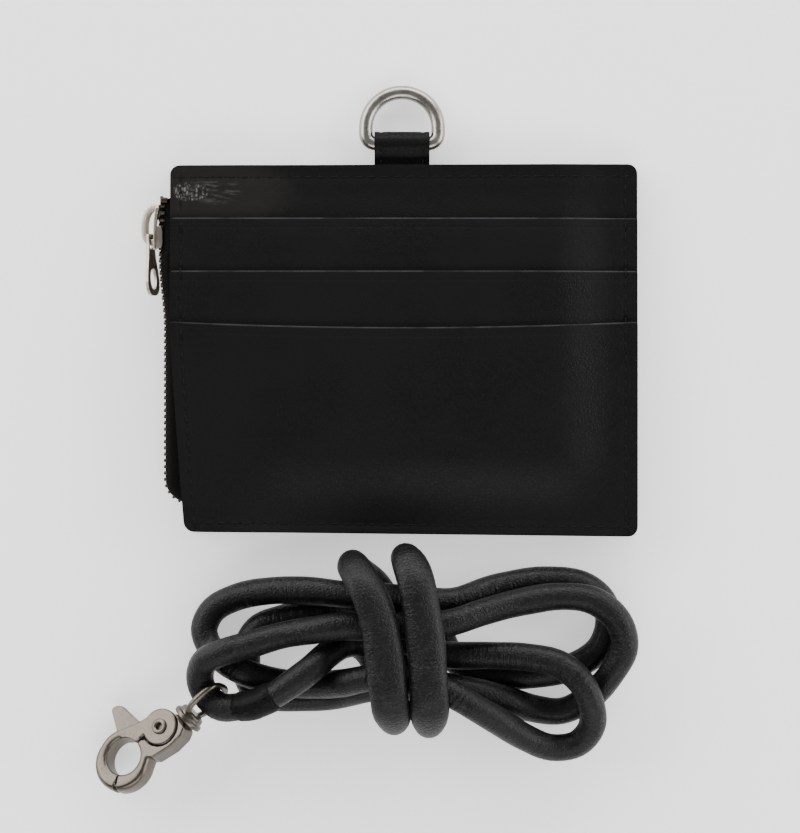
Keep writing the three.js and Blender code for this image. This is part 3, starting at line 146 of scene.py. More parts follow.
BUNDLE = [
    *THROUGH_THE_EYE, *MIDDLE_LOOP_RIGHT, *INNER_LOOP_LEFT, *FRONT_LOOP_RIGHT,
    *OUTER_LOOP_LEFT, *OUTER_LOOP_RIGHT,
]
CORD_ROUTE = [*BUNDLE, *RIGHT_WRAP, *LEFT_WRAP, *BACK_TO_THE_JOIN]
print("the route has", len(CORD_ROUTE), "points")

# %% [markdown]
# A smooth curve through all points is a Catmull-Rom spline. Its centripetal kind, where each
# step counts by the root of its length, makes no loops where points lie close together. The curve
# is then cut into even steps of a millimetre, because the tube needs rings at equal distances.


# %% Smooth and even paths
def smooth_path(points, closed=False, per_span=24):
    """A centripetal Catmull-Rom curve through the points."""
    points = [np.array(p, float) for p in points]
    count = len(points)
    if not closed:
        points = [2 * points[0] - points[1], *points, 2 * points[-1] - points[-2]]
    made = []
    for i in range(count if closed else count - 1):
        if closed:
            p0, p1, p2, p3 = (points[(i + k - 1) % count] for k in range(4))
        else:
            p0, p1, p2, p3 = points[i:i + 4]
        d0, d1, d2 = (max(np.linalg.norm(b - a) ** 0.5, 1e-3) for a, b in ((p0, p1), (p1, p2), (p2, p3)))
        t1 = ((p1 - p0) / d0 - (p2 - p0) / (d0 + d1) + (p2 - p1) / d1) * d1
        t2 = ((p2 - p1) / d1 - (p3 - p1) / (d1 + d2) + (p3 - p2) / d2) * d1
        for k in range(per_span):
            t = k / per_span
            bend = (2 * p1 - 2 * p2 + t1 + t2) * t**3 + (-3 * p1 + 3 * p2 - 2 * t1 - t2) * t**2
            made.append(bend + t1 * t + p1)
    if not closed:
        made.append(points[-2])
    return np.array(made)


def even_path(points, step, closed=False):
    """The same path in even steps. Columns after the third are carried along."""
    points = np.asarray(points, float)
    if closed:
        points = np.vstack([points, points[:1]])
    lengths = np.linalg.norm(np.diff(points[:, :3], axis=0), axis=1)
    along = np.concatenate([[0], np.cumsum(lengths)])
    places = np.linspace(0, along[-1], max(2, round(along[-1] / step)) + 1)
    made = np.array([np.interp(places, along, column) for column in points.T]).T
    return made[:-1] if closed else made


def length_of(path):
    return float(np.linalg.norm(np.diff(path[:, :3], axis=0), axis=1).sum())


SPAN = 24
whole_loop = smooth_path([*CORD_ROUTE, JOIN_MIDDLE], True, SPAN)
route_place = np.arange(len(whole_loop))[:, None] / SPAN
cord_end = SPAN * (len(CORD_ROUTE) - 1)
OVERLAP, JOIN_STEP = 2, 0.4
cord_line = even_path(np.hstack([whole_loop, route_place])[:cord_end + 1], 1.0)
join_path = even_path(np.vstack([whole_loop[cord_end - OVERLAP:], whole_loop[:OVERLAP + 1]]), JOIN_STEP)
print("the cord is", round(length_of(cord_line)), "mm long")

# %% [markdown]
# A tube needs side directions that turn as little as possible along its path, or its surface
# twists at bends. Each ring takes the last ring's side direction and leans it square to the new
# direction. The faces carry a UV map in metres, along the tube and round it, so that a finish can
# follow the piece.


# %% Tubes and new pieces
def side_frames(path, closed=False, up=(0, 0, 1)):
    before, after = np.roll(path, 1, axis=0), np.roll(path, -1, axis=0)
    if not closed:
        before[0], after[-1] = path[0], path[-1]
    ways = after - before
    ways /= np.linalg.norm(ways, axis=1)[:, None]
    side = np.cross(np.array(up, float), ways[0])
    sides = []
    for way in ways:
        side = side - way * side.dot(way)
        side /= np.linalg.norm(side)
        sides.append(side)
    sides = np.array(sides)
    if closed:
        last = sides[-1] - ways[0] * sides[-1].dot(ways[0])
        turn = math.atan2(np.cross(last, sides[0]).dot(ways[0]), last.dot(sides[0]))
        for i, way in enumerate(ways):
            angle = turn * i / len(ways)
            sides[i] = sides[i] * math.cos(angle) + np.cross(way, sides[i]) * math.sin(angle)
    return ways, sides, np.cross(ways, sides)


def new_piece(name, shape, material):
    """A mesh object from vertices in millimetres, faces, and where the shape has a third list, the
    UV places of each face's corners, in millimetres too."""
    vertices, faces, *corners = shape
    mesh = bpy.data.meshes.new(name)
    mesh.from_pydata(in_frame(vertices).tolist(), [], [list(face) for face in faces])
    if corners:
        places = np.array([place for face in corners[0] for place in face], float) * MM
        mesh.uv_layers.new(name="sheet").data.foreach_set("uv", places.ravel())
    mesh.materials.append(material)
    mesh.shade_smooth()
    return placed(name, mesh)


def dress(piece, node, body):
    """Say which CAD node a piece replaces and which body it rides on."""
    if node:
        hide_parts(node)
    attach(piece, body)
    return piece


def skin_faces(tall, wide, closed=False):
    """Faces between rings that follow each other, and over both ends unless the row is closed."""
    faces = []
    for i in range(tall if closed else tall - 1):
        here, there = i * wide, (i + 1) % tall * wide
        for k in range(wide):
            m = (k + 1) % wide
            faces.append((here + k, here + m, there + m, there + k))
    if not closed:
        faces.append(tuple(range(wide - 1, -1, -1)))
        faces.append(tuple((tall - 1) * wide + k for k in range(wide)))
    return faces


def tube(path, ring, closed=False, up=(0, 0, 1)):
    """Vertices, faces and UV corners of a tube. ring(i) gives the ring's offsets to its side and
    upwards, as many at each place."""
    path = np.asarray(path, float)[:, :3]
    _, sides, ups = side_frames(path, closed, up)
    steps = np.linalg.norm(np.diff(np.vstack([path, path[:1]]), axis=0), axis=1)
    along = np.concatenate([[0], np.cumsum(steps)])
    vertices = []
    for i in range(len(path)):
        across, high = ring(i)
        vertices.extend(path[i] + np.outer(across, sides[i]) + np.outer(high, ups[i]))
    wide = len(ring(0)[0])
    girth = 2 * math.pi * float(np.hypot(*ring(0)).mean())
    corners = []
    for i in range(len(path) if closed else len(path) - 1):
        for k in range(wide):
            low, high = girth * k / wide, girth * (k + 1) / wide
            corners.append(((along[i], low), (along[i], high), (along[i + 1], high), (along[i + 1], low)))
    if not closed:
        corners += [((0, 0),) * wide, ((along[-2], 0),) * wide]
    return vertices, skin_faces(len(path), wide, closed), corners


def round_angles(count):
    return np.linspace(0, 2 * math.pi, count, endpoint=False)


def circle_ring(radius, sides):
    return radius * np.cos(round_angles(sides)), radius * np.sin(round_angles(sides))


def squared_ring(half_across, half_high, sides=20, power=0.45):
    """A ring between an oval, at power 1, and a rectangle, at power 0."""
    c, s = np.cos(round_angles(sides)), np.sin(round_angles(sides))
    return half_across * np.sign(c) * np.abs(c) ** power, half_high * np.sign(s) * np.abs(s) ** power


print("path and tube tools are ready")

# %% [markdown]
# ## Writing materials
# A shader is a graph of nodes, and sums written as nodes are hard to read. The class below wraps
# one output of a node, so that an expression such as `1 - crest * 0.5` adds its Math nodes by
# itself. Colours and vectors go through Mix and Vector Math, because a Math node turns them grey.


# %% Shader helpers
class Wire:
    """One output of a node. Arithmetic on it adds Math nodes."""

    def __init__(self, finish, socket):
        self.finish = finish
        self.socket = socket

    def maths(self, operation, other, swapped=False):
        pair = (other, self) if swapped else (self, other)
        return self.finish.node("ShaderNodeMath", {"operation": operation}, dict(enumerate(pair)))

    def __add__(self, other):
        return self.maths("ADD", other)

    __radd__ = __add__

    def __mul__(self, other):
        return self.maths("MULTIPLY", other)

    __rmul__ = __mul__

    def __sub__(self, other):
        return self.maths("SUBTRACT", other)

    def __rsub__(self, other):
        return self.maths("SUBTRACT", other, swapped=True)

    def __abs__(self):
        return self.finish.node("ShaderNodeMath", {"operation": "ABSOLUTE"}, {0: self})


class Finish:
    """A material while it is being made."""

    def __init__(self, name):
        self.material = bpy.data.materials.new(name)
        self.material.use_nodes = True
        self.tree = self.material.node_tree
        self.tree.nodes.clear()

    def node(self, kind, settings=None, inputs=None, output=0):
        """Adds a node. Its settings come first, then the values or wires of its sockets."""
        made = self.tree.nodes.new(kind)
        for key, value in (settings or {}).items():
            setattr(made, key, value)
        for key, value in (inputs or {}).items():
            if isinstance(value, Wire):
                self.tree.links.new(value.socket, made.inputs[key])
            else:
                made.inputs[key].default_value = value
        return Wire(self, made.outputs[output]) if len(made.outputs) else None

    def where(self, kind="Object"):
        return self.node("ShaderNodeTexCoord", output=kind)

    def axis(self, vector, name):
        return self.node("ShaderNodeSeparateXYZ", {}, {0: vector}, name)

    def stretch(self, vector, scale, turn=(0, 0, 0)):
        return self.node("ShaderNodeMapping", {}, {"Vector": vector, "Scale": scale, "Rotation": turn})

    def noise(self, vector, size_mm, detail=3.0, roughness=0.5, distortion=0.0):
        """Soft noise from 0 to 1, whose features are about size_mm across."""
        inputs = {"Vector": vector, "Scale": 1000 / size_mm, "Detail": detail}
        inputs |= {"Roughness": roughness, "Distortion": distortion}
        return self.node("ShaderNodeTexNoise", {}, inputs, "Fac")

    def warped(self, vector, size_mm, reach_mm):
        """Coordinates pushed about by a coloured noise."""
        colour = self.node("ShaderNodeTexNoise", {}, {"Vector": vector, "Scale": 1000 / size_mm}, "Color")
        push = self.node("ShaderNodeVectorMath", {"operation": "SCALE"}, {0: colour, "Scale": reach_mm * MM})
        return self.node("ShaderNodeVectorMath", {"operation": "ADD"}, {0: vector, 1: push})

    def cells(self, vector, size_mm, feature="DISTANCE_TO_EDGE"):
        inputs = {"Vector": vector, "Scale": 1000 / size_mm}
        return self.node("ShaderNodeTexVoronoi", {"feature": feature}, inputs, "Distance")

    def ramp(self, value, low, high, at_low=0.0, at_high=1.0):
        """A value taken smoothly from one span to another and held at its ends."""
        inputs = {"Value": value, "From Min": low, "From Max": high, "To Min": at_low, "To Max": at_high}
        return self.node("ShaderNodeMapRange", {"interpolation_type": "SMOOTHSTEP"}, inputs)

    def mix(self, factor, one, other):
        one, other = ((*c, 1) if isinstance(c, tuple) else c for c in (one, other))
        return self.node("ShaderNodeMix", {"data_type": "RGBA"}, {0: factor, 6: one, 7: other}, 2)

    def bump(self, height, depth_mm, under=None):
        inputs = {"Height": height, "Distance": depth_mm * MM}
        if under is not None:
            inputs["Normal"] = under
        return self.node("ShaderNodeBump", {}, inputs)

    def done(self, **inputs):
        """The shader itself. Underscores in a name stand for spaces."""
        values = {key.replace("_", " "): value for key, value in inputs.items()}
        shader = self.node("ShaderNodeBsdfPrincipled", {}, values)
        self.node("ShaderNodeOutputMaterial", {}, {"Surface": shader})
        return self.material


def shade(colour, factor):
    return tuple(factor * c for c in colour)


print("shader helpers are ready")

# %% [markdown]
# ## Black leather
# The panels are smooth cowhide with a fine natural grain: cells of under a millimetre, pressed almost flat,
# which catch the light as a soft glint. The grain comes in patches, strong in some and nearly gone in others.
# A Voronoi pattern gives the furrows between the cells, and noise bends them so that no two are alike. Crests
# are polished by handling and furrows stay dull, so the roughness follows the same pattern as the bump. On
# the band, a glint near the upper left is a painted highlight, a lighter colour in a small patch. Along the
# slots' edges, a thin painted highlight, which also stands for rubbed wear, lightens the colour.


# %% Leather finish
def painted_glint_patch(finish, where, tone, middle):
    """A painted highlight: pebbles of lighter colour in a small oval, drawn out sideways into lighter
    wrinkles, in a wide paler haze of painted sheen.
    """
    across = (finish.axis(where, "X") - middle[0]) * (1 / MM)
    along = (finish.axis(where, "Y") - middle[1]) * (1 / MM)
    ragged = finish.noise(where, 1.5, 3) * 0.9 + 0.55

    def oval(shift, half_across, half_along, soft):
        x, y = (across - shift) * (1 / half_across), along * (1 / half_along)
        return finish.ramp((x * x + y * y) * ragged, 1 - soft, 1 + soft, 1.0, 0.0)

    slanted = finish.stretch(where, (1.5, 0.8, 1), (0, 0, math.radians(38)))
    uneven = finish.ramp(finish.noise(where, 0.9, 2), 0.3, 0.6, 0.25, 1.0)
    pebbles = finish.ramp(finish.cells(slanted, 0.85), 0.05, 0.26) * uneven
    wrinkles = finish.ramp(finish.noise(finish.stretch(where, (0.3, 1.5, 1)), 0.8, 2), 0.48, 0.72)
    tone = finish.mix(oval(4.0, 17.0, 7.5, 0.7) * 0.75, tone, (0.0125, 0.0115, 0.0105))
    tone = finish.mix(oval(5.5, 5.5, 2.6, 0.6) * wrinkles, tone, (0.038, 0.036, 0.034))
    return finish.mix(oval(-0.2, 3.9, 2.1, 0.25) * pebbles, tone, (0.105, 0.103, 0.098))


def leather(name, colour, roughness, grain_mm, grain_depth_mm, shine=0.2, painted_glint_at=None, slot_edge=False):
    finish = Finish(name)
    where = finish.where()
    bent = finish.warped(where, 2.6, 1.1)
    furrow = finish.ramp(finish.cells(bent, grain_mm), 0.0, 0.3)
    pores = finish.ramp(finish.cells(bent, grain_mm * 0.45, "F1"), 0.15, 0.6, 1.0, 0.0)
    patches = finish.ramp(finish.noise(where, 17, 3), 0.42, 0.68)
    if painted_glint_at is not None:
        patches = patches * 0.3
    handled = finish.ramp(finish.noise(where, 46, 2), 0.35, 0.65)
    height = furrow * (patches * 0.8 + 0.2) + pores * 0.2 + finish.noise(where, 0.35, 2) * 0.25
    bumped = finish.bump(height, grain_depth_mm)
    bumped = finish.bump(finish.noise(where, 9, 2), 0.16, bumped)
    tone = finish.mix(handled, shade(colour, 0.85), shade(colour, 1.12))
    tone = finish.mix(furrow, shade(colour, 0.5), tone)
    polish = patches * -0.08 + (1 - furrow) * 0.1 + handled * -0.04 + roughness
    if painted_glint_at is not None:
        # The band's glint is a painted highlight: a lighter colour in a small patch.
        tone = painted_glint_patch(finish, where, tone, painted_glint_at)
    if slot_edge:
        from_edge = finish.axis(finish.where("UV"), "Y")
        crease = finish.ramp(abs(from_edge - 2.1 * MM), 0.0, 0.45 * MM)
        bumped = finish.bump(crease, 0.035, bumped)
        # Painted highlight along the slot's edge: the colour is lighter in a thin uneven line, which also
        # stands for rubbed wear.
        rubbed = finish.ramp(from_edge, 0.12 * MM, 0.42 * MM, 1.0, 0.0)
        worn = finish.ramp(finish.noise(where, 6, 3), 0.3, 0.62, 0.3, 1.0)
        tone = finish.mix(rubbed * worn, tone, (0.036, 0.036, 0.038))
    return finish.done(
        Base_Color=tone, Roughness=polish, Normal=bumped, Specular_IOR_Level=shine, Coat_Weight=0.03,
        Coat_Roughness=0.25,
    )


BLACK = (0.0046, 0.0046, 0.0052)
WARM_BLACK = (0.0047, 0.0044, 0.0042)
# Middle of the painted highlight on the band, near its upper left.
painted_glint_spot = tuple(in_frame((-47.7, 35.8, 7.4)))
slot_leather = leather("slot leather", BLACK, 0.5, 0.8, 0.035, 0.13, slot_edge=True)
band_leather = leather("band leather", WARM_BLACK, 0.42, 0.75, 0.06, 0.14, painted_glint_at=painted_glint_spot)
cover_leather = leather("cover leather", BLACK, 0.48, 0.9, 0.06)
tab_leather = leather("tab leather", WARM_BLACK, 0.5, 0.85, 0.1, 0.08)
print("leather finishes:", slot_leather.name, band_leather.name, cover_leather.name, tab_leather.name)

# %% [markdown]
# The lanyard is a strip of softer leather rolled round a core and closed with a fine seam, which
# lies at its underside. Where it bends, small wrinkles cross it. The UV map runs along the cord
# and round it, so wrinkles and seam keep their direction wherever the cord turns.


# %% Rolled cord leather
def rolled_leather(name, colour):
    finish = Finish(name)
    where = finish.where()
    sheet = finish.where("UV")
    furrow = finish.ramp(finish.cells(finish.warped(where, 2.2, 0.9), 0.8), 0.0, 0.32)
    across = finish.stretch(sheet, (1, 0.2, 1))
    wrinkle = finish.ramp(finish.noise(across, 1.5, 3, 0.6, 0.8), 0.4, 0.62)
    patch = finish.ramp(finish.noise(where, 11, 2), 0.4, 0.62)
    seam = finish.ramp(abs(finish.axis(sheet, "Y") - SEAM_PLACE * MM), 0.0, 0.55 * MM)
    height = furrow * 0.45 + wrinkle * patch * 0.9 + finish.noise(where, 0.4, 2) * 0.25
    bumped = finish.bump(height, 0.15)
    bumped = finish.bump(seam, 0.3, bumped)
    tone = finish.mix(furrow, shade(colour, 0.5), shade(colour, 1.1))
    tone = finish.mix(seam, shade(colour, 0.3), tone)
    polish = patch * -0.06 + (1 - furrow) * 0.1 + 0.42
    return finish.done(
        Base_Color=tone, Roughness=polish, Normal=bumped, Specular_IOR_Level=0.2, Coat_Weight=0.04,
        Coat_Roughness=0.28,
    )


SEAM_PLACE = 0.75 * math.pi * CORD_DIAMETER
cord_leather = rolled_leather("rolled leather", (0.0050, 0.0050, 0.0054))
print("cord finish:", cord_leather.name)

# %% [markdown]
# Cloth inside the holder is of two kinds: a twill tape that carries the zip's teeth, and a thin
# woven lining. A twill is a set of slanting ribs, and a plain weave is two sets of ribs at right
# angles. Both are waves in the bump, so that they cost no geometry. The sewing thread is a waxed
# polyester twist, with the same slanting ribs much finer.


# %% Cloth and thread finishes
WAVE_SCALE = 310


def woven(name, colour, pitch_mm, slant, depth_mm, roughness, sheen, shine=0.4, holes=False):
    finish = Finish(name)
    where = finish.where()
    turned = finish.stretch(where, (1, 1, 1), (0, 0, slant))

    def waves(way, closer, distortion):
        """Ribs across X or Y, closer together than the pitch by a factor."""
        inputs = {"Vector": turned, "Scale": WAVE_SCALE / pitch_mm * closer, "Distortion": distortion}
        return finish.node("ShaderNodeTexWave", {"wave_type": "BANDS", "bands_direction": way}, inputs, 1)

    height = waves("X", 1, 0.6) * 0.7 + waves("Y", 1.6, 0) * 0.3
    fuzz = finish.noise(where, 0.5, 2)
    bumped = finish.bump(height + fuzz * 0.4, depth_mm)
    tone = finish.mix(finish.ramp(height, 0.1, 0.9), shade(colour, 0.45), shade(colour, 1.2))
    # Painted shade: where the stitch shape marks a needle hole, the colour is near black.
    if holes:
        hole = finish.node("ShaderNodeAttribute", {"attribute_name": "hole"}, {}, "Fac")
        tone = finish.mix(hole, tone, (0.0006,) * 3)
    return finish.done(
        Base_Color=tone, Roughness=fuzz * 0.1 + roughness, Normal=bumped, Sheen_Weight=sheen,
        Sheen_Roughness=0.4, Specular_IOR_Level=shine,
    )


tape_black = (0.0048, 0.0042, 0.004)
tape_cloth = woven("zip tape twill", tape_black, 0.55, math.radians(45), 0.05, 0.85, 0.0, 0.08)
lining_cloth = woven("woven lining", (0.016, 0.016, 0.018), 0.4, 0.0, 0.06, 0.72, 0.3)
thread_black = (0.006, 0.006, 0.0062)
thread = woven("waxed thread", thread_black, 0.3, math.radians(40), 0.05, 0.6, 0.0, 0.1, holes=True)
print("cloth finishes:", tape_cloth.name, lining_cloth.name, thread.name)

# %% [markdown]
# ## Metal
# The ring, the slider and the hook are zinc castings with a nickel plate, a warm grey that has worn to a
# satin shine. Fine scratches run every way and the plate is a little cloudy, which breaks up the reflections.
# The slider's copy of the plate is painted lighter and the hook's copy darker, as painted light and painted
# shade for how the lamps fall on them. The zip's teeth are darker, an aged bronze plate.


# %% Metal finishes
def plated(name, colour, roughness):
    finish = Finish(name)
    where = finish.where()
    cloudy = finish.ramp(finish.noise(where, 3.5, 3), 0.3, 0.7)
    rubbed = finish.noise(finish.stretch(where, (1, 0.12, 1), (0.3, 0.5, 0.9)), 0.35, 3, 0.7)
    rubbed_back = finish.noise(finish.stretch(where, (0.12, 1, 0.5), (0.8, 0.2, 0.4)), 0.3, 3, 0.7)
    scratches = finish.ramp(rubbed, 0.55, 0.72) + finish.ramp(rubbed_back, 0.58, 0.75)
    bumped = finish.bump(scratches * -0.5 + finish.noise(where, 1.4, 2), 0.02)
    tone = finish.mix(cloudy, shade(colour, 0.82), shade(colour, 1.05))
    return finish.done(
        Base_Color=tone, Metallic=1.0, Roughness=cloudy * 0.08 + scratches * 0.06 + roughness, Normal=bumped
    )


nickel = plated("satin nickel", (0.33, 0.305, 0.275), 0.26)
# Painted light and shade: the slider's copy of the nickel is lighter and the hook's copy darker than the
# ring's, for how the lamps fall on them.
lit_slider_nickel = plated("zip slider nickel", (0.44, 0.395, 0.335), 0.36)
shaded_hook_nickel = plated("hook nickel", (0.122, 0.107, 0.09), 0.3)
tooth_bronze = plated("aged tooth plate", (0.085, 0.066, 0.05), 0.36)
spring_steel = plated("spring steel", (0.5, 0.5, 0.5), 0.22)
metals = (nickel, lit_slider_nickel, shaded_hook_nickel, tooth_bronze, spring_steel)
print("metal finishes:", *(metal.name for metal in metals))

# %% [markdown]
# The id window is a clear soft plastic film, slightly clouded by cards that have been pushed in
# and out. It is mostly see-through, so its alpha is low, and scuffs along the cards' way make it
# a little whiter in streaks.


# %% Clear film
def clear_film(name):
    finish = Finish(name)
    where = finish.where()
    streaks = finish.noise(finish.stretch(where, (0.15, 1, 1)), 1.2, 4, 0.6)
    scuffs = finish.ramp(streaks, 0.5, 0.85)
    tone = finish.mix(scuffs, (0.75, 0.78, 0.79), (0.9, 0.92, 0.92))
    bumped = finish.bump(finish.noise(where, 14, 2), 0.25)
    return finish.done(
        Base_Color=tone, Roughness=scuffs * 0.25 + 0.08, Alpha=scuffs * 0.06 + 0.15, Normal=bumped, IOR=1.5
    )


film = clear_film("clear film")
print("film finish:", film.name)

# %% [markdown]
# ## The lanyard
# The tube is round, but leather gives way where it is pulled tight: the two wraps lie flattened
# on the bundle. There each ring is squeezed towards the bundle's middle and widened sideways.
# The cord's own unevenness, a tenth of a millimetre, keeps its highlights from running dead
# straight.

# %% The cord's shape
BUNDLE_MIDDLE = (-66.5, 12.5)
RING_SIDES = 20
SQUEEZE, WIDEN = 0.78, 1.4
SQUEEZED_FROM, SQUEEZED_ABOVE = 12, 22
UNEVEN = 0.09

first_wrap = len(BUNDLE)
last_wrap = first_wrap + len(RIGHT_WRAP) + len(LEFT_WRAP)


def eased(value, low, high):
    t = np.clip((np.asarray(value, float) - low) / (high - low), 0, 1)
    return t * t * (3 - 2 * t)


cord_path = cord_line[:, :3]
ways, sides, ups = side_frames(cord_path)
place = cord_line[:, 3]
in_wrap = eased(place, first_wrap - 1, first_wrap + 1) * (1 - eased(place, last_wrap - 3, last_wrap - 1))
inward = np.array([(0, BUNDLE_MIDDLE[0] - y, BUNDLE_MIDDLE[1] - z) for _, y, z in cord_path])
inward /= np.linalg.norm(inward, axis=1)[:, None]
raised = in_wrap * eased(cord_path[:, 2], SQUEEZED_FROM, SQUEEZED_ABOVE)
print("wraps take", round(float(in_wrap.sum())), "mm of the cord")

# %% [markdown]
# The seam should stay hidden: below the cord where it lies flat, and against the bundle where it
# is a wrap. The angle to that side is worked out for each ring and evened out over a few
# centimetres, so the seam wanders slowly as it does on a real cord.

# %% Seam side and rings
EVENED_OVER = 30
hidden_side = np.where(in_wrap[:, None] > 0.5, inward, np.array([0, 0, -1.0]))
across = np.einsum("ij,ij->i", hidden_side, sides)
upward = np.einsum("ij,ij->i", hidden_side, ups)
seam_turn = np.unwrap(np.arctan2(upward, across)) + math.pi / 2
window = np.hanning(2 * EVENED_OVER + 1)
seam_turn = np.pad(seam_turn, EVENED_OVER, mode="edge")
seam_turn = np.convolve(seam_turn, window / window.sum(), mode="valid")


def cord_ring(i):
    angles = round_angles(RING_SIDES) + seam_turn[i]
    swell = UNEVEN * (math.sin(i * 0.21) * math.sin(i * 0.083 + 1) + 0.4 * math.sin(i * 0.47))
    offsets = np.outer(np.cos(angles), sides[i]) + np.outer(np.sin(angles), ups[i])
    press = inward[i] - ways[i] * inward[i].dot(ways[i])
    press /= max(np.linalg.norm(press), 1e-6)
    pressed = np.outer(offsets @ press, press)
    offsets += (pressed * (SQUEEZE - 1) + (offsets - pressed) * (WIDEN - 1)) * raised[i]
    offsets *= CORD_DIAMETER / 2 + swell
    return offsets @ sides[i], offsets @ ups[i]


lanyard = new_piece("lanyard", tube(cord_path, cord_ring), cord_leather)
dress(lanyard, "lanyard_cord", "holder")
print("the lanyard has", len(lanyard.data.polygons), "faces")

# %% [markdown]
# ## Repeats along a path
# Stitches and zip teeth are one small shape, repeated at an even pitch along a path. Geometry
# Nodes do this well: the path's edges become a curve, the curve is cut at the pitch, and a copy
# stands on each cut, turned along the curve and towards a given upper side. The tree ends by
# making the copies real and giving them their finish, because copies are lost in an export.


# %% The tree that repeats a shape
def repeat_tree():
    tree = bpy.data.node_groups.new("repeat along a path", "GeometryNodeTree")
    tree.is_modifier = True
    sockets = {}
    wanted = {
        "Path": "Geometry", "Shape": "Object", "Pitch": "Float", "Upper side": "Vector", "Slant": "Float",
        "Uneven": "Float", "Seed": "Int", "Finish": "Material",
    }
    for name, kind in wanted.items():
        socket = tree.interface.new_socket(name, in_out="INPUT", socket_type=f"NodeSocket{kind}")
        sockets[name] = socket.identifier
    tree.interface.new_socket("Row", in_out="OUTPUT", socket_type="NodeSocketGeometry")

    def add(kind, links=None, **settings):
        made = tree.nodes.new(kind)
        for key, value in settings.items():
            setattr(made, key, value)
        for key, value in (links or {}).items():
            if isinstance(value, bpy.types.NodeSocket):
                tree.links.new(value, made.inputs[key])
            else:
                made.inputs[key].default_value = value
        return made.outputs

    given = add("NodeGroupInput")
    curve = add("GeometryNodeMeshToCurve", {"Mesh": given["Path"]})[0]
    cut = add("GeometryNodeResampleCurve", {"Curve": curve, "Length": given["Pitch"]}, mode="LENGTH")[0]
    shape = add("GeometryNodeObjectInfo", {"Object": given["Shape"]})["Geometry"]
    way = add("GeometryNodeInputTangent")[0]
    align = "FunctionNodeAlignRotationToVector"
    along = add(align, {"Vector": way}, axis="X")[0]
    upright = add(align, {"Rotation": along, "Vector": given["Upper side"]}, axis="Z", pivot_axis="X")[0]
    least = add("ShaderNodeMath", {0: given["Uneven"], 1: -1.0}, operation="MULTIPLY")[0]
    chance = add("FunctionNodeRandomValue", {"Min": least, "Max": given["Uneven"], "Seed": given["Seed"]})
    chance = next(socket for socket in chance if socket.enabled)
    slant = add("ShaderNodeMath", {0: chance, 1: given["Slant"]}, operation="ADD")[0]
    turn = add("ShaderNodeCombineXYZ", {"Z": slant})[0]
    links = {"Rotation": upright, "Rotate By": add("FunctionNodeEulerToRotation", {0: turn})[0]}
    turned = add("FunctionNodeRotateRotation", links, rotation_space="LOCAL")[0]
    copies = add("GeometryNodeInstanceOnPoints", {"Points": cut, "Instance": shape, "Rotation": turned})[0]
    real = add("GeometryNodeRealizeInstances", {0: copies})[0]
    finished = add("GeometryNodeSetMaterial", {"Geometry": real, "Material": given["Finish"]})[0]
    add("NodeGroupOutput", {0: finished})
    return tree, sockets


REPEAT, REPEAT_SOCKETS = repeat_tree()


def made_real(piece):
    """Put what the piece's modifiers make in the place of its own mesh."""
    evaluated = piece.evaluated_get(bpy.context.evaluated_depsgraph_get())
    mesh = bpy.data.meshes.new_from_object(evaluated)
    piece.modifiers.clear()
    piece.data = mesh
    return piece


def repeat_along(
    name, paths, shape, pitch, material, upper_side=(0, 0, 1), slant=0.0, uneven=0.0, seed=1, node=None
):
    """One mesh of copies of a shape along paths in millimetres, made real and riding on the holder."""
    vertices, edges = [], []
    for path in paths:
        edges += [(len(vertices) + i, len(vertices) + i + 1) for i in range(len(path) - 1)]
        vertices.extend(np.asarray(path, float)[:, :3])
    mesh = bpy.data.meshes.new(name)
    mesh.from_pydata(in_frame(vertices).tolist(), edges, [])
    row = placed(name, mesh)
    modifier = row.modifiers.new("repeat", "NODES")
    modifier.node_group = REPEAT
    values = {
        "Shape": shape, "Pitch": pitch * MM, "Upper side": upper_side, "Slant": slant, "Uneven": uneven,
        "Seed": seed, "Finish": material,
    }
    for key, value in values.items():
        modifier[REPEAT_SOCKETS[key]] = value
    row.data.update()
    return dress(made_real(row), node, "holder")


print("the repeat tree has", len(REPEAT.nodes), "nodes")

# %% [markdown]
# ## Stitches
# A lockstitch shows as a short arch of thread that dips into a hole at each end. The thread is as black as
# the leather and pulled nearly flush, so the needle holes, dark with shade, are what one sees. The shape
# below is a bent tube of a few dozen faces, with a small dimple beyond its end that carries the hole's
# painted shade. A number kept on each vertex tells the thread's finish where to paint that shade.


# %% One stitch
def stitch_shape(name, length, girth, rise, dip, hole=(0.36, 0.24)):
    spots = np.linspace(-1, 1, 7)
    path = np.array([(t * length / 2, 0, rise - (rise + dip) * abs(t) ** 2.6) for t in spots])
    thin = 1 - 0.35 * np.abs(spots) ** 3
    offsets = circle_ring(girth / 2, 6)
    vertices, faces, _ = tube(path, lambda i: np.array(offsets) * thin[i])
    thread_points = len(vertices)
    middle = length / 2 + hole[0] * 0.75
    vertices = [*map(tuple, vertices), (middle, 0, 0.05)]
    for k, angle in enumerate(round_angles(8)):
        vertices.append((middle + hole[0] * math.cos(angle), hole[1] * math.sin(angle), 0.0))
        faces.append((thread_points, thread_points + 1 + k, thread_points + 1 + (k + 1) % 8))
    faces.append(tuple(thread_points + 8 - k for k in range(8)))
    mesh = bpy.data.meshes.new(name)
    mesh.from_pydata((np.array(vertices) * MM).tolist(), [], [list(face) for face in faces])
    # The dimple's vertices carry the needle hole's painted shade.
    mesh.attributes.new("hole", "FLOAT", "POINT").data.foreach_set(
        "value", [float(i >= thread_points) for i in range(len(vertices))]
    )
    mesh.shade_smooth()
    return placed(name, mesh)


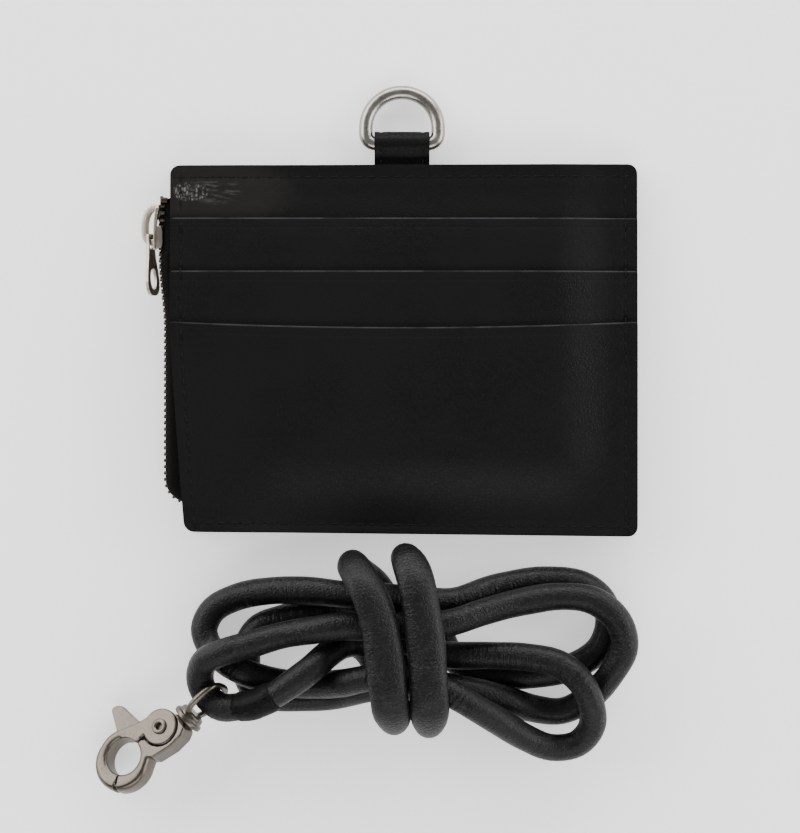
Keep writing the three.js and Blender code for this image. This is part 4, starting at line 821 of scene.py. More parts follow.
STITCH_PITCH, FINE_PITCH, SLEEVE_PITCH = 2.8, 2.2, 2.1
seam_stitch = stitch_shape("seam stitch", 2.3, 0.4, 0.0, 0.3)
fine_stitch = stitch_shape("fine stitch", 1.75, 0.4, 0.1, 0.26, hole=(0.22, 0.16))
patterns = [seam_stitch, fine_stitch]
print("a stitch has", len(seam_stitch.data.polygons), "faces")

# %% [markdown]
# ## The sewn join
# The cord's two ends meet end to end inside a short sleeve of thin leather. The sleeve is a
# little thicker than the cord, drawn in at both ends, and closed by a row of stitches on each
# side of its seam. The stitches stand on the tube's own surface, so their path is its upper line.

# %% Sleeve over the join
SLEEVE_RADIUS, DRAWN_END = 3.45, 0.35

_, join_sides, join_ups = side_frames(join_path)


def sleeve_ring(i):
    from_end = min(i, len(join_path) - 1 - i) * JOIN_STEP
    radius = SLEEVE_RADIUS - DRAWN_END * (1 - eased(from_end, 0, 1.0)) + 0.05 * math.sin(i * 0.5)
    return circle_ring(radius, 32)


sleeve = new_piece("cord_sleeve", tube(join_path, sleeve_ring), tab_leather)
dress(sleeve, "cord_join", "holder")


def on_sleeve(angle):
    radius = SLEEVE_RADIUS + 0.02
    return join_path + radius * (math.cos(angle) * join_sides + math.sin(angle) * join_ups)


seam_lines = [on_sleeve(math.radians(a))[3:-3] for a in (76, 104)]
sleeve_stitches = repeat_along(
    "cord_sleeve_stitches", seam_lines, fine_stitch, SLEEVE_PITCH, thread
)
print("the sleeve is", round(length_of(join_path), 1), "mm long")

# %% [markdown]
# ## The card section's outline
# The panels share one outline. The left edge leans inwards below the slots, where the zip runs
# down beside it, and the lower edge rises a little to the left. The front sheets come down to the
# back ones at the sewn edges and stay up beside the zip, so the pocket has its room. Handled
# leather is never dead flat, so the same faint waves go through all sheets, and their gaps stay.

# %% Outline and lie of the sheets
LEFT, RIGHT, TOP, BOTTOM = -52.5, 52.5, 41.7, -41.7
CORNER, SLOT_CORNER = 2.2, 0.8
UPPER_SLOT, MIDDLE_SLOT, FRONT_SLOT, SLOT_DIP = 29.9, 18.0, 6.6, 1.3
LEAN_FROM, LEAN, HEAD_RISE, FOOT_RISE = 6.5, 3.4, 0.4, 1.2
SEAM_DROP, SEAM_FLAT, SEAM_SLOPE, CROWN = 3.2, 3.6, 16.0, 0.4


def left_edge(y):
    share = np.maximum(0, LEAN_FROM - np.asarray(y, float)) / (LEAN_FROM - BOTTOM)
    return LEFT + LEAN * share**1.15


def foot_edge(x):
    return BOTTOM + FOOT_RISE * (RIGHT - x) / (RIGHT - LEFT)


def top_edge(x):
    return TOP + HEAD_RISE * (x - LEFT) / (RIGHT - LEFT)


def front_slot(x):
    return FRONT_SLOT - SLOT_DIP * (1 - (x / RIGHT) ** 2)


def sheet_drop(x, y):
    """How far the front sheets lie below their highest place."""
    from_left, from_right, from_foot, from_head = x - LEFT, RIGHT - x, y - BOTTOM, TOP - y
    beyond_zip = eased(from_left, 10, 32)
    right, foot, head = (
        1 - eased(away, SEAM_FLAT, SEAM_FLAT + SEAM_SLOPE) for away in (from_right, from_foot, from_head)
    )
    drop = SEAM_DROP * (1 - (1 - right) * (1 - foot * beyond_zip) * (1 - head * beyond_zip * 0.33))
    middle = eased(from_left, 4, 26) * eased(from_right, 4, 30)
    middle = middle * eased(from_foot, 4, 34) * eased(from_head, 3, 12)
    waves = 0.05 * np.sin(x * 0.13 + 0.6) * np.sin(y * 0.16 + 1.1) + 0.03 * np.sin(x * 0.31 - y * 0.22)
    return drop + middle * (waves - CROWN)


print("the front lies", round(float(sheet_drop(50.0, 0.0)), 1), "mm lower at its right edge")

# %% [markdown]
# The seam runs all round, two or three millimetres inside the edge, and pulls the leather into a
# shallow furrow. The furrow is real geometry: the sheets' grids are close near the edges, and the
# upper faces sink along the seam's line.

# %% Seam lines
SEAM_INSET = {"left": 2.4, "foot": 2.1, "right": 2.7, "top": 2.7}


def seam_furrow(x, y):
    lines = (
        x - left_edge(y) - SEAM_INSET["left"], y - foot_edge(x) - SEAM_INSET["foot"],
        RIGHT - x - SEAM_INSET["right"], top_edge(x) - y - SEAM_INSET["top"],
    )
    return 0.2 * max(math.exp(-(d / 0.75) ** 2) for d in lines)


EDGE_STEPS = (0, 0.12, 0.35, 0.7, 1.1, 1.6, 2.2, 2.7, 3.3, 4, 5, 6.2, 7.6)


def spread(low, high, step, edge_steps=EDGE_STEPS):
    """Places from low to high, close together at both ends."""
    inner_low, inner_high = low + edge_steps[-1], high - edge_steps[-1]
    count = max(2, round((inner_high - inner_low) / step))
    middle = np.linspace(inner_low, inner_high, count + 1)[1:-1]
    return [*(low + step for step in edge_steps), *middle, *(high - step for step in reversed(edge_steps))]


def corner_cut(distance, radius):
    return radius - math.sqrt(radius**2 - (radius - distance) ** 2) if distance < radius else 0.0


print("edge steps:", len(EDGE_STEPS))

# %% [markdown]
# A leather sheet is a grid with an upper and a lower face and a wall round its rim. Its rows run
# from the foot to the head edge, and its columns from the left edge to the right one. The rim is
# rounded by a live Bevel modifier, as an edge that has been folded or painted and rubbed. The UV
# map holds the place across and the distance below the head edge, which the crease follows.


# %% Leather sheets
def slab_faces(wide, tall, closed=False):
    """Faces of a lower and an upper grid of rows and columns, and of the wall round them. Where it
    is closed, the last row meets the first."""

    def wall(start, end):
        """A quad between the layers, from one (row, column) to the next."""
        corners = [(0, start), (0, end), (1, end), (1, start)]
        return [(layer * tall + row % tall) * wide + column for layer, (row, column) in corners]

    faces = []
    for row in range(tall if closed else tall - 1):
        for column in range(wide - 1):
            square = [(row, column), (row, column + 1), (row + 1, column + 1), (row + 1, column)]
            flat = [place % tall * wide + across for place, across in square]
            faces.append([tall * wide + corner for corner in flat])
            faces.append(flat[::-1])
        faces += [wall((row, wide - 1), (row + 1, wide - 1)), wall((row + 1, 0), (row, 0))]
    for column in [] if closed else range(wide - 1):
        faces += [wall((0, column), (0, column + 1)), wall((tall - 1, column + 1), (tall - 1, column))]
    return faces


def by_corner(spots, faces):
    return [[spots[corner] for corner in face] for face in faces]


def sheet_grid(head, foot, left, right, base, thickness, corners, drop, furrow=None, step=1.7):
    """A slab between four edges. corners are the radii at its head and at its foot."""
    low, high = foot(0.0), head(0.0)
    shares = [(y - low) / (high - low) for y in spread(low, high, step)]
    columns = [(x - LEFT) / (RIGHT - LEFT) for x in spread(LEFT, RIGHT, step)]
    vertices, spots = [], []
    for layer in (0, 1):
        for share in shares:
            from_foot, from_head = share * (high - low), (1 - share) * (high - low)
            cut = corner_cut(from_head, corners[0]) + corner_cut(from_foot, corners[1])
            start = float(left(foot(LEFT) + (head(LEFT) - foot(LEFT)) * share)) + cut
            for column in columns:
                x = start + (right - cut - start) * column
                y = foot(x) + (head(x) - foot(x)) * share
                z = base + layer * thickness - float(drop(x, y))
                if layer and furrow:
                    z -= furrow(x, y)
                vertices.append((x, y, z))
                spots.append((x, head(x) - y))
    faces = slab_faces(len(columns), len(shares))
    return vertices, faces, by_corner(spots, faces)


def round_rim(piece, width_mm, segments=3):
    rim = piece.modifiers.new("rubbed rim", "BEVEL")
    rim.width = width_mm * MM
    rim.segments = segments
    rim.limit_method = "ANGLE"
    rim.angle_limit = math.radians(50)
    rim.harden_normals = False


def leather_sheet(name, node, head, base, thickness, head_corner, material):
    corners = (head_corner, CORNER)
    grid = sheet_grid(head, foot_edge, left_edge, RIGHT, base, thickness, corners, sheet_drop, seam_furrow)
    piece = new_piece(name, grid, material)
    round_rim(piece, 0.3, 4)
    return dress(piece, node, "holder")


SHEETS = {
    "main_leather": ("main_panel", top_edge, 6.9, 0.8, CORNER, band_leather),
    "upper_slot_leather": ("slot_panel_upper", lambda x: UPPER_SLOT, 8.0, 0.7, SLOT_CORNER, slot_leather),
    "middle_slot_leather": ("slot_panel_middle", lambda x: MIDDLE_SLOT, 9.0, 0.7, SLOT_CORNER, slot_leather),
    "front_leather": ("front_panel", front_slot, 10.0, 0.7, SLOT_CORNER, slot_leather),
}
for name, facts in SHEETS.items():
    made = leather_sheet(name, *facts)
    print(name, "has", len(made.data.polygons), "faces")

# %% [markdown]
# The seam's stitches lie on whichever sheet is uppermost at each place, so the row steps up as it
# passes each slot's edge. Each side is its own line, and the corners share a hole.


# %% The seam round the card section
def front_height(x, y):
    """The height of the uppermost front sheet at a place."""
    top = max(base + leather for _, head, base, leather, *_ in SHEETS.values() if y < head(x))
    return top - float(sheet_drop(x, y)) - seam_furrow(x, y)


def line_of(spot_at, start, end):
    """A side of the seam, whose spot_at gives (x, y) at each quarter of a millimetre."""
    spots = [spot_at(place) for place in np.linspace(start, end, max(2, round(abs(end - start) / 0.25)))]
    return [(float(x), float(y), front_height(float(x), float(y))) for x, y in spots]


seam_left = LEFT + SEAM_INSET["left"]
seam_right = RIGHT - SEAM_INSET["right"]
seam_foot = BOTTOM + SEAM_INSET["foot"]
seam_head = TOP - SEAM_INSET["top"]
front_seam = [
    line_of(lambda y: (left_edge(y) + SEAM_INSET["left"], y), seam_head - 0.2, seam_foot + 1.5),
    line_of(lambda x: (x, foot_edge(x) + SEAM_INSET["foot"]), -46.6, seam_right),
    line_of(lambda y: (seam_right, y), seam_foot + 0.3, seam_head + 0.3),
    line_of(lambda x: (x, top_edge(x) - SEAM_INSET["top"]), seam_right, seam_left),
]
repeat_along(
    "front_seam", front_seam, seam_stitch, STITCH_PITCH, thread, slant=math.radians(4), uneven=0.05
)
print("the seam has", round(sum(length_of(np.array(line)) for line in front_seam) / STITCH_PITCH), "stitches")

# %% [markdown]
# ## Back cover
# The back is one sheet with a large rounded window. It is lofted: rings of vertices go from the
# window's edge to the outer edge, and a ray from the window's middle finds the place of each
# vertex on both outlines. Rings near both edges stand close, to carry the window's pressed line
# and the stitched rim.

# %% Outlines of the back cover
WINDOW_WIDTH, WINDOW_HEIGHT, WINDOW_CORNER, WINDOW_LIFT = 79.0, 48.0, 4.0, -3.0
COVER_LEATHER = 0.9


def rounded(corners):
    """A closed outline from corners with a radius each."""
    made = []
    for i, (x, y, radius) in enumerate(corners):
        here = np.array((x, y))
        before = np.array(corners[i - 1][:2]) - here
        after = np.array(corners[(i + 1) % len(corners)][:2]) - here
        if radius == 0:
            made.append(here)
            continue
        a, b = before / np.linalg.norm(before), after / np.linalg.norm(after)
        half = math.acos(max(-1, min(1, a.dot(b)))) / 2
        middle = here + (a + b) / np.linalg.norm(a + b) * radius / math.sin(half)
        start, end = (here + way * radius / math.tan(half) - middle for way in (a, b))
        turn = math.atan2(start[0] * end[1] - start[1] * end[0], start.dot(end))
        for angle in np.linspace(0, turn, 11):
            c, s = math.cos(angle), math.sin(angle)
            made.append(middle + np.array((start[0] * c - start[1] * s, start[0] * s + start[1] * c)))
    return np.array(made)


def cover_outline():
    lean = [(left_edge(y), y, 0) for y in np.linspace(LEAN_FROM, -38, 16)]
    return rounded([
        (LEFT, TOP, CORNER), *lean, (left_edge(foot_edge(LEFT)), foot_edge(LEFT), CORNER),
        (RIGHT, BOTTOM, CORNER), (RIGHT, top_edge(RIGHT), CORNER),
    ])


def window_outline():
    w, h = WINDOW_WIDTH / 2, WINDOW_HEIGHT / 2
    return rounded([(x, WINDOW_LIFT + y, WINDOW_CORNER) for x, y in ((-w, h), (-w, -h), (w, -h), (w, h))])


def hit_from(middle, angle, outline):
    """Where a ray from the middle meets a closed outline."""
    way = np.array((math.cos(angle), math.sin(angle)))
    a, b = outline - middle, np.roll(outline, -1, axis=0) - middle
    edge = b - a
    cross = way[0] * edge[:, 1] - way[1] * edge[:, 0]
    cross = np.where(np.abs(cross) < 1e-9, 1e-9, cross)
    reach = (a[:, 0] * edge[:, 1] - a[:, 1] * edge[:, 0]) / cross
    share = (a[:, 0] * way[1] - a[:, 1] * way[0]) / cross
    good = (reach > 0) & (share >= -1e-6) & (share <= 1 + 1e-6)
    return middle + way * reach[good].min()


print("the window is", WINDOW_WIDTH, "by", WINDOW_HEIGHT, "mm")

# %% [markdown]
# Each ray gives one row of places, close together near both edges. The rows form a lower and an
# upper layer, and the last row meets the first round the window.


# %% Back cover
RAYS = 320
middle = np.array((0.0, WINDOW_LIFT))
outer_ring, inner_ring = (
    np.array([hit_from(middle, angle, outline) for angle in round_angles(RAYS)])
    for outline in (cover_outline(), window_outline())
)
INNER_BANDS = (0, 0.25, 0.8, 1.6, 2.2, 2.8)
OUTER_BANDS = (3.6, 2.9, 2.4, 1.9, 1.2, 0.4, 0)
COVER_DENTS = (0, 0, 0.03, 0.14, 0.03, 0, 0, 0.05, 0.16, 0.05, 0, 0, 0)


def spoke(start, end):
    """The places of the rings on one ray, from the window's edge to the outer edge."""
    reach = np.linalg.norm(end - start)
    way = (end - start) / reach
    near = [start + way * min(band, reach * 0.4) for band in INNER_BANDS]
    return near + [end - way * min(band, reach * 0.4) for band in OUTER_BANDS]


spokes = [spoke(start, end) for start, end in zip(inner_ring, outer_ring)]
lower = [(x, y, dent) for ray in spokes for (x, y), dent in zip(ray, COVER_DENTS)]
upper = [(x, y, COVER_LEATHER) for ray in spokes for x, y in ray]
faces = slab_faces(len(COVER_DENTS), RAYS, closed=True)
cover = new_piece("back_leather", (lower + upper, faces), cover_leather)
round_rim(cover, 0.26)
dress(cover, "back_cover", "holder")
print("the back cover has", len(faces), "faces")

# %% [markdown]
# The back's stitches are the other side of the same seam. They follow the outer outline and the
# window's edge, and they arch downwards, so their upper side is the table's.

# %% Seams on the back
BACK_SEAM, WINDOW_SEAM = 2.4, 1.6


def line_beside(edge, other_edge, inset, height):
    """A closed line inside one edge of the cover, at an inset on the way to the other edge."""
    ways = other_edge - edge
    line = edge + ways / np.linalg.norm(ways, axis=1)[:, None] * inset
    return [(x, y, height) for x, y in [*line, line[0]]]


back_seams = [
    line_beside(outer_ring, inner_ring, BACK_SEAM, 0.16),
    line_beside(inner_ring, outer_ring, WINDOW_SEAM, 0.14),
]
back_stitches = repeat_along(
    "back_seam", back_seams, seam_stitch, STITCH_PITCH, thread, upper_side=(0, 0, -1), uneven=0.04,
    seed=4,
)
print("the back's stitches have", len(back_stitches.data.polygons), "faces")

# %% [markdown]
# ## Linings and film
# Thin woven lining closes the coin pocket on both sides. The front lining follows the leather
# above it, and the rear one lies flat on the cover. Both stop short of the zip so that the slider
# can pass. The window's film keeps its CAD shape, because it is a flat sheet.

# %% Linings
LINING_LEFT, LINING_TURN_X, LINING_TURN_Y, SET_BACK = -51.15, -48.0, -32.55, 0.5


def lining_left(y):
    y = float(y)
    if y < LINING_TURN_Y:
        return LINING_TURN_X
    return LINING_LEFT + corner_cut(y - LINING_TURN_Y, LINING_TURN_X - LINING_LEFT)


def lining_head(x):
    return top_edge(x) - SET_BACK


def lining_foot(x):
    return foot_edge(x) + SET_BACK


def lining(name, node, base, drop):
    corners, right = (CORNER - SET_BACK, CORNER - SET_BACK), RIGHT - SET_BACK
    grid = sheet_grid(lining_head, lining_foot, lining_left, right, base, 0.3, corners, drop, step=3.0)
    piece = dress(new_piece(name, grid, lining_cloth), node, "holder")
    flat = ((right - LINING_LEFT) * MM, (lining_head(0) - lining_foot(0)) * MM)
    return piece


front_lining = lining("front_lining", "pocket_lining_front", 5.7, sheet_drop)
rear_lining = lining("rear_lining", "pocket_lining_rear", 1.8, lambda x, y: 0.0)
window_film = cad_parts["id_window"]
window_film.data.materials.clear()
window_film.data.materials.append(film)
print("linings:", front_lining.name, rear_lining.name)

# %% [markdown]
# ## The ring's tab
# One strip of leather passes round the ring's bar, and its two ends lie together inside the
# holder. The strip is drawn as a line seen from the side, given its thickness, and stretched to
# its width. From the edge of the holder the two layers part and run smoothly on to the bar.

# %% Tab line
BAR_Y, BAR_Z, TAB_SHIFT = 46.7, 3.3, -0.45
RING_WIRE = 3.1
TAB_WIDTH, TAB_LEATHER = 12.4, 0.9
TAB_TAIL_Y = 33.7
WRAP_RADIUS = RING_WIRE / 2 + 0.3 + TAB_LEATHER / 2
LEG_HEIGHT = 0.6

leave = math.radians(122)
leave_y, leave_z = BAR_Y + WRAP_RADIUS * math.cos(leave), WRAP_RADIUS * math.sin(leave)
slope = -math.cos(leave) / math.sin(leave)
span = leave_y - (TOP - 0.6)
upper = [(y, LEG_HEIGHT) for y in np.linspace(TAB_TAIL_Y, TOP - 0.9, 8)]
for share in np.linspace(0, 1, 12):
    lift = (3 * share**2 - 2 * share**3) * (leave_z - LEG_HEIGHT) + (share**3 - share**2) * slope * span
    upper.append((TOP - 0.6 + span * share, LEG_HEIGHT + lift))
bend_angles = np.linspace(leave, -leave, 33)[1:-1]
bend = [(BAR_Y + WRAP_RADIUS * math.cos(a), WRAP_RADIUS * math.sin(a)) for a in bend_angles]
tab_line = np.array([*upper, *bend, *((y, -z) for y, z in reversed(upper))])
print("the strip is", round(float(np.linalg.norm(np.diff(tab_line, axis=0), axis=1).sum())), "mm long")

# %% [markdown]
# The same slab as for the sheets, bent along the line, makes the strip. A furrow runs along each
# of its two seams, and short rows of stitches lie in the furrows outside the holder.

# %% Tab strip
TAB_EDGE, TAB_SEAM = (0, 0.15, 0.4, 0.8, 1.2, 1.6, 2.1), 1.5


def strip(line):
    """The slab round a line of (y, z) places, with a furrow along each seam."""
    way = np.gradient(line, axis=0)
    way /= np.linalg.norm(way, axis=1)[:, None]
    outside = np.stack([-way[:, 1], way[:, 0]], axis=1)
    columns = spread(-TAB_WIDTH / 2, TAB_WIDTH / 2, 1.2, TAB_EDGE)
    along = np.concatenate([[0], np.cumsum(np.linalg.norm(np.diff(line, axis=0), axis=1))])
    vertices, spots = [], []
    for layer in (-1, 1):
        for point, away, place in zip(line, outside, along):
            for x in columns:
                from_seam = TAB_WIDTH / 2 - abs(x) - TAB_SEAM
                dent = 0.14 * math.exp(-(from_seam / 0.45) ** 2) if layer > 0 else 0
                y, z = point + away * (layer * TAB_LEATHER / 2 - dent)
                vertices.append((TAB_SHIFT + x, y, BAR_Z + z))
                spots.append((x, place))
    faces = slab_faces(len(columns), len(line))
    return vertices, faces, by_corner(spots, faces)


tab = new_piece("ring_tab", strip(tab_line), tab_leather)
round_rim(tab, 0.28)
dress(tab, "d_ring_tab", "holder")


def tab_row(x):
    return [(x, y, BAR_Z + z + TAB_LEATHER / 2 - 0.12) for y, z in upper if y > TOP + 0.3]


tab_rows = [tab_row(TAB_SHIFT + side * (TAB_WIDTH / 2 - TAB_SEAM)) for side in (-1, 1)]
repeat_along("tab_seam", tab_rows, fine_stitch, FINE_PITCH, thread)
print("tab faces:", len(tab.data.polygons))

# %% [markdown]
# ## D-ring
# The ring is bent from round wire and welded in its bar: a straight bar inside the tab, two round
# corners and a half-round bow. It rests with its bow on the table, so the whole ring tips down
# by a few degrees from the bar.

# %% D-ring
RING_INNER_WIDTH, RING_REACH, RING_CORNER = 13.2, 11.8, 2.6


def bent_corner(*corners):
    """A quadratic curve from the first of three places to the last, drawn towards the middle one."""
    start, corner, end = (np.array(place, float) for place in corners)
    return [(1 - t) ** 2 * start + 2 * t * (1 - t) * corner + t * t * end for t in np.linspace(0, 1, 10)]


half = (RING_INNER_WIDTH + RING_WIRE) / 2
bow_y = RING_REACH - half
ring_plan = [
    *bent_corner((half - RING_CORNER, 0), (half, 0), (half, RING_CORNER)),
    *((half * math.cos(a), bow_y + half * math.sin(a)) for a in np.linspace(0, math.pi, 40)),
    *bent_corner((-half, RING_CORNER), (-half, 0), (-half + RING_CORNER, 0)),
]
tilt = math.asin((BAR_Z - RING_WIRE / 2 - 0.05) / RING_REACH)
tipped = [(TAB_SHIFT + x, BAR_Y + y * math.cos(tilt), BAR_Z - y * math.sin(tilt)) for x, y in ring_plan]
ring_path = even_path(tipped, 0.6, closed=True)
wire = circle_ring(RING_WIRE / 2, 28)
d_ring = new_piece("d_ring_wire", tube(ring_path, lambda i: wire, closed=True)[:2], nickel)
dress(d_ring, "d_ring", "ring")
print("the ring tips by", round(math.degrees(tilt), 1), "degrees")

# %% [markdown]
# ## Zip
# The zip runs down the left edge and turns the pocket's lower corner. Its two tapes lie between
# leather and lining, bend at the edge, and carry the teeth on a beaded rim. The chain's line in
# plan is worked out from its length: straight, a quarter turn, and a short straight end.

# %% The chain's line
CHAIN_X, ZIP_TOP, ZIP_TURN, TURN_RADIUS, ZIP_TAIL = -53.9, 33.0, -28.7, 5.6, 2.2
POCKET_MIDDLE = 3.9
AT_SLIDER, BELOW_SLIDER, DRAWN_FROM, DRAWN_AT = -0.55, 0.6, 12, 28
TOOTH_PITCH = 1.4
SLIDER_TOP, OPENING_FROM, OPENED_AT, OPENED_BY = 32.8, 5.8, 1.4, 1.4
STRAIGHT = ZIP_TOP - ZIP_TURN
CHAIN_LENGTH = STRAIGHT + TURN_RADIUS * math.pi / 2 + ZIP_TAIL


def chain_at(distance):
    """A place on the chain's line and the direction to the pocket's inside. The slider pulls the
    chain outwards, and below it the chain draws in towards the leather."""
    drawn_in = AT_SLIDER + (BELOW_SLIDER - AT_SLIDER) * float(eased(distance, DRAWN_FROM, DRAWN_AT))
    angle = min(max(distance - STRAIGHT, 0.0) / TURN_RADIUS, math.pi / 2)
    inside = np.array((math.cos(angle), math.sin(angle)))
    place = np.array((CHAIN_X + TURN_RADIUS, ZIP_TURN)) - inside * (TURN_RADIUS - drawn_in)
    place[1] += max(STRAIGHT - distance, 0.0)
    place[0] += max(distance - STRAIGHT - TURN_RADIUS * math.pi / 2, 0.0)
    return place, inside


def row_spread(distance):
    """Near the slider's nose each row has moved away from the other."""
    y = ZIP_TOP - distance
    return OPENED_BY * float(eased(y, SLIDER_TOP - OPENING_FROM, SLIDER_TOP - OPENED_AT))


print("the chain is", round(CHAIN_LENGTH, 1), "mm long")

# %% [markdown]
# A metal tooth is a stamped clamp. Its legs grip the tape's bead, and its head reaches past the
# chain's middle, between two teeth of the other row. Here it is one solid, drawn as half an
# outline with its width at each corner: broad legs, a waist, a wider head and a narrow tip. All
# its edges are rounded.

# %% One tooth
# Half lengths along the chain, places towards the other row, and half widths.
HALF_TOOTH = (
    (0.32, -1.5, 0.72), (0.3, -0.75, 0.72), (0.24, -0.3, 0.7), (0.31, 0.2, 0.64), (0.28, 0.5, 0.6),
    (0.12, 0.58, 0.54),
)


def tooth_shape(name, side):
    """X runs along the chain, Y outwards, Z towards the other row."""
    outline = [(-x, z, w) for x, z, w in HALF_TOOTH] + [*reversed(HALF_TOOTH)]
    mesh = bmesh.new()
    front, back = ([mesh.verts.new((x, w * face, -z * side)) for x, z, w in outline] for face in (1, -1))
    mesh.faces.new(front)
    mesh.faces.new(back[::-1])
    for i in range(len(outline)):
        k = (i + 1) % len(outline)
        mesh.faces.new((front[k], front[i], back[i], back[k]))
    bmesh.ops.recalc_face_normals(mesh, faces=mesh.faces)
    bmesh.ops.bevel(mesh, geom=mesh.edges[:], offset=0.06, segments=1, affect="EDGES")
    bmesh.ops.scale(mesh, verts=mesh.verts, vec=(MM, MM, MM))
    data = bpy.data.meshes.new(name)
    mesh.to_mesh(data)
    mesh.free()
    data.shade_smooth()
    return placed(name, data)


front_tooth, rear_tooth = tooth_shape("front tooth", 1), tooth_shape("rear tooth", -1)
patterns += [front_tooth, rear_tooth]
print("a tooth has", len(front_tooth.data.polygons), "faces")

# %% [markdown]
# A row of teeth is the tooth's shape repeated along the chain's line at one pitch. The rear row
# starts half a pitch later, so that its teeth stand in the gaps of the front row. Above the
# slider's nose the two lines move apart.


# %% Rows of teeth
def chain_row(side, start, above=0.0):
    """The line of one row: side is 1 for the front row and -1 for the rear one."""
    line = []
    for distance in np.arange(start, CHAIN_LENGTH, 0.1):
        (x, y), _ = chain_at(distance)
        line.append((x, y, POCKET_MIDDLE + side * (above + row_spread(distance))))
    return line


FIRST_TOOTH = 0.4
for name, side, shape, first in (
    ("front", 1, front_tooth, FIRST_TOOTH), ("rear", -1, rear_tooth, FIRST_TOOTH + TOOTH_PITCH / 2)
):
    row = repeat_along(
        f"{name}_teeth", [chain_row(side, start=first)], shape, TOOTH_PITCH, tooth_bronze,
        uneven=0.01, seed=7, node=f"zip_teeth_{name}",
    )
    print(row.name, "have", len(row.data.polygons), "faces")

# %% [markdown]
# Each tape starts in the teeth as a round bead, and lies down between leather and lining. In the
# slider's reach it is drawn tight behind the flange, and below it the tape stands up close behind
# the teeth, whose outer ends show from above. A live Solidify modifier gives it its thickness.
# Towards the turn the tape gets narrower, because a full width would have to crumple there.

# %% Tapes
TAPE_SHEET, TAPE_WIDTH, NARROWED, TAPE_ABOVE_CHAIN = 0.3, 9.8, 4.6, 8.2
TIGHT_TO, LOOSE_FROM = 9.8, 13
TUCK_FROM, TUCKED_AT, TUCK = 0.2, 2.6, 4.2
BEAD_MIDDLE, BEAD_RADIUS = 1.15, 0.34
TIGHT = (
    (0.1, 1.4), (0.4, 1.62), (0.85, 1.75), (1.1, 1.95), (1.22, 2.2), (1.45, 2.42), (1.9, 2.55), (2.6, 2.55)
)
LOOSE = (
    (0.05, 1.4), (0.15, 1.6), (0.32, 1.85), (0.5, 2.1), (0.8, 2.32), (1.15, 2.5), (1.6, 2.58), (2.6, 2.55)
)


def tape_profile(width, loose):
    """The tape's line across, as (inside, above) pairs from the bead inwards."""
    line = np.array(TIGHT) * (1 - loose) + np.array(LOOSE) * loose
    return [*line, *((inside, 2.55) for inside in np.linspace(3.6, width, 5))]


def zip_tape(name, side, node):
    vertices, faces, spots = [], [], []
    distances = np.arange(-TAPE_ABOVE_CHAIN, CHAIN_LENGTH + 0.01, 0.6)
    for distance in distances:
        place, inward_way = chain_at(max(distance, 0))
        place = place + np.array((0, max(-distance, 0)))
        width = TAPE_WIDTH - NARROWED * float(eased(distance, STRAIGHT - 8, STRAIGHT))
        opening = row_spread(max(distance, 0))
        loose = float(eased(distance, TIGHT_TO, LOOSE_FROM))
        tucked = float(eased(-distance, TUCK_FROM, TUCKED_AT))
        for inside, above in tape_profile(width, loose):
            near_bead = 1 - float(eased(inside, 0.3, 1.9))
            x, y = place + inward_way * (inside + tucked * max(0.0, TUCK - 0.9 * inside))
            vertices.append((x, y, POCKET_MIDDLE + side * (above + opening * near_bead * 0.6)))
            spots.append((inside, distance))
    wide = len(tape_profile(TAPE_WIDTH, 0))
    for row in range(len(distances) - 1):
        for a in range(row * wide, (row + 1) * wide - 1):
            b = a + wide
            faces.append([a, a + 1, b + 1, b] if side < 0 else [a, b, b + 1, a + 1])
    piece = new_piece(name, (vertices, faces, by_corner(spots, faces)), tape_cloth)
    body = piece.modifiers.new("tape thickness", "SOLIDIFY")
    body.thickness = TAPE_SHEET * MM
    body.offset = 0
    dress(piece, node, "holder")
    bead = circle_ring(BEAD_RADIUS, 10)
    bead_line = even_path(chain_row(side, above=BEAD_MIDDLE, start=-1.8), 0.5)
    cord = new_piece(name + "_bead", tube(bead_line, lambda i: bead)[:2], tape_cloth)
    dress(cord, None, "holder")
    return piece


for name, side in (("front", 1), ("rear", -1)):
    tape = zip_tape(f"{name}_zip_tape", side, f"zip_tape_{name}")
    print(tape.name, "has", len(tape.data.polygons), "faces")

# %% [markdown]
# ## Cast pieces
# The slider, its puller, the stops and the hook are small castings, with edges softened by the
# mould and by polishing. For the stops and the hook the CAD solids have the exact shapes. A voxel
# remesh of a copy gives one even skin, and a few rounds of smoothing wear its edges down. The
# CAD nodes themselves stay as they are.


# %% One skin
def one_skin(piece, node, body, voxel_mm, rounds, material):
    """Join the solids in a piece's mesh into one skin with worn edges, and dress it."""
    remesh = piece.modifiers.new("one skin", "REMESH")
    remesh.mode = "VOXEL"
    remesh.voxel_size = voxel_mm * MM
    worn = piece.modifiers.new("worn edges", "SMOOTH")
    worn.factor = 0.5
    worn.iterations = rounds
    skin = made_real(piece).data
    skin.name = piece.name
    skin.materials.clear()
    skin.materials.append(material)
    skin.shade_smooth()
    return dress(piece, node, body)


def outward(piece):
    work = bmesh.new()
    work.from_mesh(piece.data)
    bmesh.ops.recalc_face_normals(work, faces=work.faces)
    work.to_mesh(piece.data)
    work.free()
    return piece


print("skins are made by voxels")

# %% [markdown]
# The copy's edges between faces are welded first, because the CAD solid keeps each face's own
# vertices. Further solids can be laid over it before the skin is made, to thicken it.


